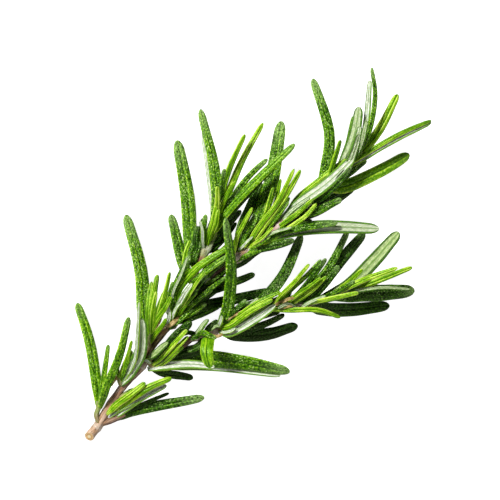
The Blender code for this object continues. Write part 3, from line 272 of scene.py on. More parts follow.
SIDE_LEAVES = (
    # The blade that stands up in front of the forks, and the leaves round the felted joint.
    (13, -10, 50, 0.5, (218, 328.5, 6.6), (227, 309, 10.5), (231.3, 268, 16), (225, 217.5, 19.5)),
    (13, 10, 10, 0.12, (219, 330, 6.6), (238, 335, 5.2), (268, 333.5, 3.8), (297.5, 325.2, 2.6)),
    (8, -20, -30, 0.05, (226, 324, 6.6), (244, 329, 6), (264, 323.5, 5.6), (284, 314, 5.4)),
    (10, 165, 160, 0.85, (219, 329, 6.8), (230, 332, 9.2), (253, 320, 11.2), (275, 304.5, 12.4)),
    (6, -10, 0, 0.85, (218, 328, 6.8), (230, 325, 10.4), (250, 311, 12.8), (272, 299, 14.2)),
    (5.5, -20, -10, 0.8, (222, 326, 6.8), (238, 315, 10), (256, 303, 12), (280, 291, 13)),
    (4, 0, 0, DRY, (218, 326, 7), (226, 319, 9), (236, 313.5, 10), (248, 309, 10.2)),
    (5, 0, 0, 0.4, (220, 324, 6.8), (228, 315, 9.2), (236, 308, 10.2), (246, 299, 10.4)),
    (5, 170, 170, 0.6, (236, 320, 6.6), (242, 312, 9), (249, 305, 10.6), (258, 297.5, 11.6)),
    (10, 0, 10, 0.1, (220, 326, 6.6), (230, 317, 4.6), (243, 308, 3.2), (261, 301, 2.2)),
    (5, 160, 150, 0.9, (217, 327, 8), (219, 323.5, 9.6), (220.5, 320, 10.4), (221.5, 315, 10.8)),
    (4, 165, 160, 0.95, (220, 331, 7.6), (224, 332, 9.4), (229, 331, 10.6), (235, 327.5, 11.4)),
    (3.5, 0, 0, DRY, (209, 334.5, 7.6), (213, 336, 8.8), (218, 335.5, 9.2), (224, 332.5, 8.8)),
    (4, 170, 170, 0.4, (207, 331, 8), (211, 328, 9.2), (215, 326, 9.6), (220, 325.5, 9.2)),
    (3.5, 0, 0, 0.3, (222, 322, 8), (231, 314, 10), (240, 306, 11), (249, 301, 11.2)),
    (5, 165, 160, 0.6, (296, 307, 7.6), (290, 304, 8.6), (284, 304, 9.2), (277, 307.5, 9.2)),
    (4.5, 165, 160, 0.6, (300, 308, 7.4), (307, 303, 8.6), (315, 299.5, 9.4), (325, 295, 9.8)),
    # The tall curved leaf and the next pair.
    (13, -25, -30, 0.3, (247, 314.5, 6.6), (264, 298, 8.6), (285, 271, 9), (301, 234, 8.2)),
    (8.5, -20, -10, 0.45, (292, 305.5, 6.6), (310, 288, 7.8), (329.5, 265, 8.2), (347.5, 230, 7.6)),
    (12.5, 10, 10, 0.25, (301, 305, 6.6), (319, 287, 6.8), (340, 260, 6.2), (364.5, 232.5, 5)),
    (5, -20, -20, 0.9, (270, 307.5, 6.6), (284, 291, 10.4), (297, 278, 12.6), (308.5, 263.5, 14.2)),
    (6.5, 10, 20, 0.3, (283, 306, 6.6), (299.5, 292, 9.6), (312.5, 276, 12), (325.5, 258, 14)),
    (5.5, 30, 30, 0.6, (276, 305, 6.6), (289, 291, 9.4), (305.5, 276, 11.6), (320.5, 259, 13)),
    (4.5, -10, 0, 0.75, (280, 306, 6.6), (293, 297, 9.8), (306, 288, 11.8), (320, 277, 13)),
    (4.5, 0, 0, 0.2, (284, 306, 6.6), (296, 298, 8.6), (309, 289, 10), (322, 277, 10.6)),
    (5, 0, 0, 0.85, (286, 306, 6.6), (298, 299, 9), (312, 289, 10.8), (326, 276, 12)),
    (8, 0, 0, 0.3, (304, 304, 6.7), (318, 291, 9.2), (328, 279, 10.4), (338.5, 265, 11)),
    (3.5, 190, 175, DRY, (272, 306, 6.8), (279, 302.5, 8.8), (286, 299.5, 10.4), (293.6, 297, 11.4)),
    (2.5, 190, 175, DRY, (274, 309, 6.8), (281, 307.5, 8.4), (287, 306.5, 9), (292, 305.5, 9.2)),
    # The head of the shoot, and the leaves that run out to the right.
    (15.5, 160, 165, 0.35, (318, 300.5, 6.8), (345.5, 287.5, 8.6), (374, 260, 9), (398.5, 231.5, 8.4)),
    (6, -10, 0, 0.85, (322, 298, 6.9), (344, 288.5, 10.4), (368, 277, 12.6), (397, 267.5, 14.2)),
    (6.5, 10, 0, 0.8, (328, 295.5, 7), (356, 287.5, 8), (384, 277.5, 8.2), (412, 267, 7.8)),
    (17, -20, 20, 0.3, (327, 296, 7), (356, 293, 5.4), (385, 292.5, 3.8), (414.5, 290, 2.4)),
    (14, 10, 0, 0.22, (306, 304, 6.6), (325, 309, 3.4), (355, 308.8, 0.6), (389.5, 305.3, 0.3)),
    (5.5, 20, 0, 0.8, (264, 309.5, 6.6), (288, 309.5, 8.4), (316, 309.5, 8.6), (340, 317, 6.8)),
    (6, 60, 20, 0.85, (304, 304, 6.6), (318, 301, 9.2), (338, 296.5, 11.4), (358, 292.5, 13.2)),
    (5, 0, 20, 0.75, (334, 293, 7.1), (344, 285, 9.6), (353, 277.5, 11.2), (362, 269, 12.2)),
    (5, 0, 0, 0.45, (316, 301, 6.8), (330, 294, 9.6), (342, 288, 11.2), (354, 280, 12)),
    (4.5, 165, 160, 0.5, (334, 294, 7.2), (352, 291, 9.2), (380, 287, 9.8), (409, 289, 7.8)),
    (7, 0, 20, 0.25, (288, 305.5, 6.6), (304, 308.5, 4.6), (321, 309.5, 2.6), (339, 311, 1.2)),
)

# The leaves beneath each leafy stem: pairs a set way apart, which point down and forward along it; their
# dark tones are painted shade.
UNDER_LEAF_STEP = 13.5
UNDER_LEAF_WIDTH = (5.0, 7.5)
UNDER_LEAF_LENGTH = (42.0, 58.0)
UNDER_LEAF_SPREAD = (0.08, 0.26)
UNDER_LEAF_DROP = (0.8, 1.06)
UNDER_LEAF_SHADE_TONE = (0.02, 0.20)
LOWEST_LEAF = 0.3
SPRIG_SEED = 68

# Half of a leaf's cross-section from the groove of the green face, round the rolled edge, to the rib below,
# as (share of the half width, share of the thickness).
HALF_SECTION = (
    (0.0, 0.37), (0.09, 0.44), (0.34, 0.50), (0.62, 0.43), (0.85, 0.25), (0.97, 0.0), (1.0, -0.14),
    (0.94, -0.38), (0.77, -0.50), (0.60, -0.42), (0.46, -0.22), (0.22, -0.20), (0.10, -0.42),
    (0.0, -0.50),
)
LEAF_SECTION = HALF_SECTION + tuple((-u, v) for u, v in reversed(HALF_SECTION[1:-1]))

# The side of a leaf below this share of its thickness is felted.
FELT_FROM = -0.16

# Where a leaf is widest and how it narrows, as shares of its length and width.
FOOT_WIDTH = 0.45
FOOT_SHARE = 0.24
TIP_TAPER = 0.30
BLUNT_RANGE = (0.06, 0.3)
TIP_ROUND = 0.55

# The oblique cut: its rise against the stem's radius, and how far along the bark follows it.
CUT_SLANT = 0.8
CUT_REACH = 0.0028

SURFACE_LEAF = 0
SURFACE_STEM = 1
SURFACE_DRY = 2
SURFACE_CUT = 3

# Tones along the green stems as (share of the run, tone):
# 0 is fresh green, 0.5 brown, 0.75 purple-brown and 1 rosy.
MAIN_SHADES = (
    (0.0, 0.45), (0.06, 0.5), (0.12, 0.3), (0.2, 0.35), (0.25, 0.7), (0.32, 0.75), (0.36, 0.35),
    (0.40, 0.5), (0.43, 0.55), (0.46, 0.95), (0.54, 0.95), (0.60, 0.85), (0.64, 0.3), (0.8, 0.1),
    (1.0, 0.0),
)
UPPER_SHADES = ((0.0, 0.3), (0.3, 0.3), (0.38, 0.7), (0.46, 0.6), (0.52, 0.1), (1.0, 0.0))
SIDE_SHADES = (
    (0.0, 0.9), (0.1, 0.9), (0.16, 0.6), (0.3, 0.45), (0.4, 0.25), (0.6, 0.3), (0.72, 0.9), (0.8, 0.3),
    (1.0, 0.0),
)
SPRAY_SHADES = ((0.0, 0.45), (0.5, 0.25), (1.0, 0.0))
WOODY_SHADES = ((0.0, 0.62), (0.6, 0.75), (1.0, 0.5))

# Tones along the bark: 0 is pale tan, 0.5 purple-brown and 1 olive-brown.
MAIN_WOOD_SHADES = (
    (0.0, 0.0), (0.2, 0.08), (0.28, 0.35), (0.36, 0.48), (0.6, 0.55), (0.72, 0.75), (0.86, 1.0),
    (1.0, 0.9),
)
SIDE_WOOD_SHADES = ((0.0, 0.6), (0.5, 0.7), (0.8, 0.6), (0.92, 0.15), (1.0, 0.0))

# Swollen joints as (share of the run, share that they add to the radius, reach in metres).
MAIN_WOOD_JOINTS = ((0.16, 0.08, 0.0010), (0.60, 0.10, 0.0010), (0.98, 0.10, 0.0014))
SIDE_WOOD_JOINTS = ((0.02, 0.12, 0.0010), (0.72, 0.10, 0.0010), (1.0, 0.05, 0.0012))
MAIN_JOINTS = (
    (0.04, 0.2, 0.0012), (0.16, 0.15, 0.0012), (0.25, 0.15, 0.0010), (0.405, 0.25, 0.0010),
    (0.45, 0.1, 0.0010), (0.56, 0.15, 0.0009), (0.70, 0.2, 0.0012), (0.84, 0.2, 0.0012),
)
UPPER_JOINTS = ((0.2, 0.15, 0.0012), (0.62, 0.2, 0.0022))
SIDE_JOINTS = (
    (0.08, 0.25, 0.0014), (0.2, 0.1, 0.0010), (0.35, 0.15, 0.0012), (0.68, 0.3, 0.0014),
    (0.85, 0.2, 0.0012),
)

# Greens from the darkest to a bright yellow-green, by tone; the darkest stand partly for painted shade.
LEAF_TONES = (
    (0.0, (0.0015, 0.011, 0.0)), (0.22, (0.010, 0.054, 0.0003)), (0.48, (0.056, 0.180, 0.0010)),
    (0.70, (0.140, 0.345, 0.0020)), (0.88, (0.310, 0.540, 0.010)), (1.0, (0.540, 0.710, 0.100)),
)

# Cells of each pattern in a millimetre: across the leaf, along it and between leaves.
BLOTCH_CELLS = (1.0, 0.42, 1.0)
STREAK_CELLS = (2.6, 1.1, 1.0)
LINE_CELLS = (2.4, 0.16, 1.0)
GRIT_CELLS = (3.6, 3.0, 1.0)
PEBBLE_CELLS = (2.7, 2.2, 1.0)
NAP_CELLS = (3.0, 0.9, 1.0)

# The same for stems: the two ways across and the way along.
FIBRE_CELLS = (2.0, 2.0, 0.30)
RIDGE_CELLS = (1.3, 1.3, 0.35)
PATCH_CELLS = (0.8, 0.8, 0.45)
STEM_GRIT_CELLS = 4.5

# Where marks begin and end: shares of the half width from the midline, or of the length from the foot.
MARGIN_RIM_LIGHT_EDGE = (0.72, 0.96)
GROOVE_EDGE = (0.13, 0.02)
RIB_EDGE = (0.15, 0.06)
LIP_EDGE = (0.56, 0.70)
FOOT_REACH = (0.22, 0.02)
FROST_REACH = (0.78, 1.0)

# How far each pattern shifts the green, and how much that grows with the leaf's tone.
MARK_GROWTH = (1.0, 0.40)
BLOTCH_GAIN = 0.45
STREAK_GAIN = 0.55
GRIT_GAIN = 0.75
# Pebble gain: painted shade between the pebbles and painted light on their tops.
PEBBLE_SHADE_GAIN = 0.85
LINE_GAIN = 0.62
OLD_LINE_GAIN = 0.2
YOUNG_TONE = (0.52, 0.76)
YOUNG_CALM = 0.78
YOUNG_SHADE = -0.07
# The rim gain is partly a paler margin and partly painted rim light.
MARGIN_RIM_LIGHT_GAIN = 0.28
# The crest gain paints a highlight beside the groove.
CREST_HIGHLIGHT_GAIN = 0.20
FOOT_GAIN = 0.18
# The groove gain paints shade into the groove.
GROOVE_SHADE_GAIN = -0.16

# Pale specks, partly hairs and partly painted glints, and frosted tips of grown leaves.
SPECK_GLINT_SHARE = 0.8
SPECK_GLINT_PALE = (0.62, 0.74, 0.36)
SPECK_GLINT_TONE = (0.20, 0.36)
FROST_SHARE = 0.55
FROST_PALE = (0.38, 0.58, 0.20)

# Felt, stems, bark, the cut face and dry scales.
FELT_GREEN = ((0.3, (0.16, 0.25, 0.07)), (0.5, (0.32, 0.44, 0.15)), (0.72, (0.56, 0.68, 0.32)))
FELT_WHITE = ((0.28, (0.30, 0.36, 0.24)), (0.5, (0.58, 0.62, 0.52)), (0.72, (0.86, 0.88, 0.84)))
RIB_GREEN = (0.12, 0.24, 0.04)
STEM_TONES = (
    (0.0, (0.22, 0.34, 0.06)), (0.3, (0.28, 0.30, 0.09)), (0.5, (0.26, 0.15, 0.045)),
    (0.75, (0.17, 0.085, 0.06)), (1.0, (0.50, 0.30, 0.28)),
)
BARK_TONES = (
    (0.0, (0.60, 0.42, 0.29)), (0.25, (0.46, 0.28, 0.18)), (0.5, (0.24, 0.13, 0.10)),
    (0.75, (0.17, 0.10, 0.055)), (1.0, (0.24, 0.17, 0.05)),
)
# Painted shade in the crevices between fibres, and pale fibre tops that are partly painted highlight.
CREVICE_SHADE_BROWN = (0.045, 0.020, 0.012)
RUST_ORANGE = (0.42, 0.19, 0.06)
FIBRE_PALE_AND_HIGHLIGHT = (0.66, 0.50, 0.42)
HAIR_WHITE = (0.80, 0.78, 0.72)
CUT_TONES = (
    (0.1, (0.86, 0.78, 0.56)), (0.38, (0.80, 0.62, 0.34)), (0.55, (0.50, 0.24, 0.07)),
    (0.75, (0.80, 0.58, 0.32)), (0.97, (0.46, 0.24, 0.09)),
)
DRY_TONES = ((0.3, (0.12, 0.07, 0.02)), (0.5, (0.34, 0.24, 0.08)), (0.7, (0.66, 0.50, 0.26)))
LEAF_BUMP = 0.00018
STEM_BUMP = 0.0003

# The studio in metres, but for the height that the camera aims at, which is in millimetres.
FLOOR_HALF = 3.0
FLOOR_DROP = 0.0001
SENSOR_WIDTH = 36.0
FLOOR_LIGHT = (0.50, 0.50, 0.50)
FLOOR_WHITE = (0.54, 0.54, 0.54)
FLOOR_GLOW = 0.95
WORLD_LIGHT = 0.05
CAMERA_HEIGHT = 4.0
FOCUS_HEIGHT = 9.0

# Lights as (name, place in metres, size in metres, power in watts, colour).
LIGHTS = (
    ("key", (-0.45, 0.50, 0.85), 0.20, 17.0, (1.0, 0.99, 0.95)),
    ("fill", (0.60, -0.35, 0.55), 0.60, 2.2, (0.99, 1.0, 0.97)),
    ("low", (-0.55, -0.45, 0.50), 0.50, 1.3, (1.0, 0.99, 0.96)),
)


def place(x, y, height):
    """The point at a view position and a height in millimetres."""
    return Vector(((x - MIDDLE[0]) * VIEW_UNIT, (MIDDLE[1] - y) * VIEW_UNIT, height * MM))


def curve_point(points, share):
    """A point of the smooth curve through the points, at a share from 0 to 1 of its run."""
    last = len(points) - 1
    at = min(max(share, 0.0), 1.0) * last
    i = min(int(at), last - 1)
    t = at - i
    a = points[i - 1] if i > 0 else points[i] * 2.0 - points[i + 1]
    b = points[i]
    c = points[i + 1]
    d = points[i + 2] if i + 2 <= last else points[i + 1] * 2.0 - points[i]
    return 0.5 * (
        b * 2.0
        + (c - a) * t
        + (a * 2.0 - b * 5.0 + c * 4.0 - d) * t * t
        + (b * 3.0 - a - c * 3.0 + d) * t * t * t
    )


def even_shares(points, count):
    """Shares of the curve's run that lie an equal length apart."""
    fine = 24 * (len(points) - 1)
    places = [curve_point(points, k / fine) for k in range(fine + 1)]
    lengths = [0.0]
    for k in range(fine):
        lengths.append(lengths[-1] + (places[k + 1] - places[k]).length)
    shares = []
    k = 0
    for n in range(count):
        goal = lengths[-1] * n / (count - 1)
        while k < fine - 1 and lengths[k + 1] < goal:
            k += 1
        part = (goal - lengths[k]) / max(lengths[k + 1] - lengths[k], 1e-9)
        shares.append((k + min(max(part, 0.0), 1.0)) / fine)
    return shares


def under_leaves(core, seed, first, last):
    """Rows of leaves that point down and forward beneath a leafy stem, by a seeded rule."""
    rng = random.Random(SPRIG_SEED + seed)
    shades = random.Random(SPRIG_SEED - seed)
    rows = []
    flat = [Vector((x, y, height)) for x, y, height, _ in core]
    length = sum((b.xy - a.xy).length for a, b in zip(flat, flat[1:]))
    count = int(length * (last - first) / UNDER_LEAF_STEP)
    for n in range(count):
        share = first + (last - first) * (n + 0.5) / count
        foot = curve_point(flat, share)
        ahead = (curve_point(flat, share + 0.02) - curve_point(flat, share - 0.02)).normalized()
        across = Vector((-ahead.y, ahead.x, 0.0))
        for side in (-1.0, 1.0):
            reach = rng.uniform(*UNDER_LEAF_LENGTH)
            spread = side * rng.uniform(*UNDER_LEAF_SPREAD)
            drop = (foot.z - LOWEST_LEAF) * rng.uniform(*UNDER_LEAF_DROP)
            line = []
            for part in (0.0, 0.33, 0.66, 1.0):
                spot = foot + ahead * reach * part + across * reach * spread * part
                line.append((spot.x, spot.y, max(foot.z - drop * part ** 0.8, LOWEST_LEAF)))
            roll = side * rng.uniform(10.0, 40.0)
            width = rng.uniform(*UNDER_LEAF_WIDTH)
            # Dark tones: painted shade beneath the stem.
            rows.append((width, roll, roll * 0.5, shades.uniform(*UNDER_LEAF_SHADE_TONE), *line))
    return tuple(rows)


class Shape:
    """Points, faces and what the materials need of each point, gathered for one mesh."""

    def __init__(self):
        self.points = []
        self.faces = []
        self.surface = []
        self.maps = []
        self.tones = []
        self.seeds = []
        self.grains = []

    def add(self, point, spot, tone, seed, grain):
        """A point with its place on the leaf or stem, its tone, its seed and its place along the grain."""
        self.points.append((point.x, point.y, max(point.z, 0.00002)))
        self.maps.append(spot)
        self.tones.append(tone)
        self.seeds.append(seed)
        self.grains.append(grain)
        return len(self.points) - 1

    def skin(self, rings, surface):
        """Faces between closed rings of point numbers."""
        for low, high in zip(rings, rings[1:]):
            count = len(low)
            for k in range(count):
                n = (k + 1) % count
                self.faces.append((low[k], low[n], high[n], high[k]))
                self.surface.append(surface)

    def fan(self, ring, tip, surface):
        """Faces from a ring to one point."""
        count = len(ring)
        for k in range(count):
            self.faces.append((ring[k], ring[(k + 1) % count], tip))
            self.surface.append(surface)

    def piece(self, name, materials, node):
        """The finished object, riding on the sprig's one body in place of its node."""
        mesh = bpy.data.meshes.new(name)
        mesh.from_pydata(self.points, [], self.faces)
        for made in materials:
            mesh.materials.append(made)
        mesh.polygons.foreach_set("material_index", self.surface)
        mesh.polygons.foreach_set("use_smooth", [True] * len(self.faces))
        for label, kind, values in (
            ("spot", "FLOAT_VECTOR", self.maps),
            ("grain", "FLOAT_VECTOR", self.grains),
        ):
            layer = mesh.attributes.new(label, kind, "POINT")
            layer.data.foreach_set("vector", np.array(values, dtype=np.float32).ravel())
        for label, values in (("tone", self.tones), ("seed", self.seeds)):
            layer = mesh.attributes.new(label, "FLOAT", "POINT")
            layer.data.foreach_set("value", np.array(values, dtype=np.float32))
        mesh.update()
        obj = bpy.data.objects.new(name, mesh)
        bpy.context.scene.collection.objects.link(obj)
        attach(obj, "root")
        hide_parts(node)
        return obj


def blade_width(share, blunt):
    """The share of its full width that a leaf has along its length: a narrow foot and a blunt tip."""
    foot = FOOT_WIDTH + (1.0 - FOOT_WIDTH) * min(share / FOOT_SHARE, 1.0) ** 0.75
    taper = 1.0 - TIP_TAPER * (max(share - 0.5, 0.0) / 0.5) ** 1.8
    tip = max(share - 1.0 + blunt, 0.0) / blunt
    return foot * taper * math.sqrt(max(1.0 - tip ** 2.2, 0.0))


def add_leaf(shape, row, rng):
    """A rosemary leaf: rolled edges, a groove along its green face and a raised rib on its pale one."""
    width, roll_foot, roll_tip, tone, *line = row
    points = [place(x, y, height) for x, y, height in line]
    wide = width * VIEW_UNIT
    thick = min(LEAF_THICKNESS, 0.34 * wide + 0.00012)
    length = sum((b - a).length for a, b in zip(points, points[1:]))
    blunt = min(max(TIP_ROUND * wide / length, BLUNT_RANGE[0]), BLUNT_RANGE[1])
    seed = rng.random()
    wave = rng.uniform(0.4, 1.0) * LEAF_WAVE
    phase = rng.uniform(0.0, 6.28)
    rings = []
    surface = SURFACE_DRY if tone == DRY else SURFACE_LEAF
    shown = max(tone, 0.0)
    for n in range(LEAF_RINGS + 1):
        even = n / LEAF_RINGS
        share = min(even if even < 0.6 else 1.0 - 0.4 * ((1.0 - even) / 0.4) ** 1.9, 0.998)
        centre = curve_point(points, share)
        along = (curve_point(points, share + 0.02) - curve_point(points, share - 0.02)).normalized()
        side = along.cross(Vector((0.0, 0.0, 1.0))).normalized()
        face = side.cross(along)
        roll = math.radians(roll_foot + (roll_tip - roll_foot) * share)
        across = side * math.cos(roll) - face * math.sin(roll)
        normal = face * math.cos(roll) + side * math.sin(roll)
        centre = centre + across * wave * math.sin(9.0 * share + phase)
        centre = centre + normal * wave * math.sin(7.0 * share + phase)
        part = blade_width(share, blunt)
        half = 0.5 * wide * part
        deep = thick * (0.45 + 0.55 * part)
        ring = []
        for u, v in LEAF_SECTION:
            bend = noise.noise(Vector((u * 1.5, share * 9.0, seed * 50.0))) * LEAF_BEND
            point = centre + across * half * (u + bend * abs(u)) + normal * deep * v
            under = 1.0 if v < FELT_FROM else 0.0
            grain = (u * half / MM, share * length / MM, seed * SEED_GAP + under * UNDER_GAP)
            ring.append(shape.add(point, (u, share, under), shown, seed, grain))
        rings.append(ring)
    shape.skin(rings, surface)
    start = (0.0, 0.0, seed * SEED_GAP)
    foot = shape.add(curve_point(points, 0.0), (0.0, 0.0, 0.5), shown, seed, start)
    end = (0.0, length / MM, seed * SEED_GAP)
    tip = shape.add(curve_point(points, 1.0), (0.0, 1.0, 0.0), shown, seed, end)
    shape.fan(list(reversed(rings[0])), foot, surface)
    shape.fan(rings[-1], tip, surface)


def add_stem(shape, line, shades, surface, seed, swellings=(), ridge=0.05, rough=0.05, slant=0.0):
    """A stem with ridges along it, swollen felted joints and, with a slant, a cut foot.

    The shades are (share, tone) pairs along it.
    """
    points = [place(x, y, height) for x, y, height, _ in line]
    radii = [Vector((radius * MM, 0.0, 0.0)) for _, _, _, radius in line]
    length = sum((b - a).length for a, b in zip(points, points[1:]))
    count = max(8, round(length / STEM_STEP) + 1)
    shares = even_shares(points, count)
    rings = []
    for n, share in enumerate(shares):
        centre = curve_point(points, share)
        along = (curve_point(points, share + 0.01) - curve_point(points, share - 0.01)).normalized()
        side = along.cross(Vector((0.0, 0.0, 1.0))).normalized()
        up = side.cross(along)
        run = n * length / (count - 1)
        base = curve_point(radii, share).x
        felt = 0.0
        for spot, swell, reach in swellings:
            near = math.exp(-(((share - spot) * length / reach) ** 2))
            base *= 1.0 + swell * near
            felt = max(felt, near)
        tone = float(np.interp(share, [s for s, _ in shades], [t for _, t in shades]))
        ring = []
        for k in range(STEM_SIDES):
            turn = 2.0 * math.pi * k / STEM_SIDES
            grain = Vector((math.cos(turn) * base, math.sin(turn) * base, run)) * 1000.0
            crust = noise.noise(Vector((grain.x * 2.6, grain.y * 2.6, grain.z * 0.45 + seed)))
            fine = noise.noise(Vector((grain.x * 5.0, grain.y * 5.0, grain.z * 1.3 + seed)))
            lift = 1.0 + ridge * math.cos(4.0 * turn + run * 220.0) + rough * crust + 0.5 * rough * fine
            point = centre + (side * math.cos(turn) + up * math.sin(turn)) * base * lift
            point += along * math.sin(turn) * base * slant * max(1.0 - run / CUT_REACH, 0.0)
            ring.append(shape.add(point, (k / STEM_SIDES, share, felt), tone, seed, tuple(grain)))
        rings.append(ring)
    shape.skin(rings, surface)
    for ring, share, back in ((rings[0], shares[0], -1.0), (rings[-1], shares[-1], 1.0)):
        centre = curve_point(points, share)
        turn_in = [ring] if back > 0 else [list(reversed(ring))]
        for part in (0.93, 0.7, 0.4):
            inner = []
            for number in turn_in[0]:
                edge = Vector(shape.points[number])
                spot = centre + (edge - centre) * part
                inner.append(shape.add(spot, (0.0, share, part), 0.5, seed, shape.grains[number]))
            turn_in.append(inner)
        shape.skin(turn_in, SURFACE_CUT if slant and back < 0 else surface)
        middle = shape.add(centre, (0.0, share, 0.0), 0.5, seed, (0.0, 0.0, 0.0))
        shape.fan(turn_in[-1], middle, SURFACE_CUT if slant and back < 0 else surface)


class Nodes:
    """Shader nodes of one material, made and joined with short calls."""

    def __init__(self, name):
        self.made = bpy.data.materials.new(name)
        self.made.use_nodes = True
        self.tree = self.made.node_tree
        self.shader = self.tree.nodes["Principled BSDF"]

    def node(self, kind, **settings):
        """A new node of a kind with its settings."""
        new = self.tree.nodes.new(kind)
        for key, value in settings.items():
            setattr(new, key, value)
        return new

    def join(self, source, target):
        """Joins an output to an input, or sets a constant there."""
        if isinstance(source, bpy.types.NodeSocket):
            self.tree.links.new(source, target)
        else:
            target.default_value = source

    def put(self, socket, source):
        """Sets an input of the shader to a constant, or joins an output to it."""
        self.join(source, self.shader.inputs[socket])

    def math(self, operation, first, second=0.0, third=0.0, clamp=False):
        """A sum on single values."""
        new = self.node("ShaderNodeMath", operation=operation, use_clamp=clamp)
        for value, socket in zip((first, second, third), new.inputs):
            self.join(value, socket)
        return new.outputs[0]

    def times(self, first, second):
        """The product of two values."""
        return self.math("MULTIPLY", first, second)

    def plus_times(self, first, second, third):
        """The product of two values, plus a third."""
        return self.math("MULTIPLY_ADD", first, second, third)

    def step(self, value, low, high, out_low=0.0, out_high=1.0):
        """A smooth step between two values."""
        new = self.node("ShaderNodeMapRange", interpolation_type="SMOOTHSTEP")
        for socket, item in zip(new.inputs, (value, low, high, out_low, out_high)):
            self.join(item, socket)
        return new.outputs[0]

    def mix(self, factor, first, second, blend="MIX"):
        """A blend of two colours."""
        new = self.node("ShaderNodeMix", data_type="RGBA", blend_type=blend)
        self.join(factor, new.inputs[0])
        for value, socket in ((first, new.inputs[6]), (second, new.inputs[7])):
            self.join(value if isinstance(value, bpy.types.NodeSocket) else (*value, 1.0), socket)
        return new.outputs[2]

    def ramp(self, factor, stops):
        """A colour ramp of (place, colour) stops."""
        new = self.node("ShaderNodeValToRGB")
        points = new.color_ramp.elements
        while len(points) < len(stops):
            points.new(0.5)
        for point, (spot, colour) in zip(points, stops):
            point.position = spot
            point.color = (*colour, 1.0)
        self.join(factor, new.inputs[0])
        return new.outputs[0]

    def attribute(self, name):
        """A value that each point of the mesh carries."""
        return self.node("ShaderNodeAttribute", attribute_name=name)

    def noise(self, vector, scale, detail=2.0, rough=0.5):
        """Cloudy noise on a vector."""
        new = self.node("ShaderNodeTexNoise")
        self.join(vector, new.inputs["Vector"])
        new.inputs["Scale"].default_value = scale
        new.inputs["Detail"].default_value = detail
        new.inputs["Roughness"].default_value = rough
        return new.outputs[0]

    def stretch(self, vector, scale):
        """A vector scaled by axis."""
        new = self.node("ShaderNodeVectorMath", operation="MULTIPLY")
        self.join(vector, new.inputs[0])
        new.inputs[1].default_value = scale
        return new.outputs[0]

    def bump(self, height, distance, strength=1.0):
        """A bump from a height, for the shader's normal."""
        new = self.node("ShaderNodeBump")
        new.inputs["Distance"].default_value = distance
        new.inputs["Strength"].default_value = strength
        self.join(height, new.inputs["Height"])
        return new.outputs[0]


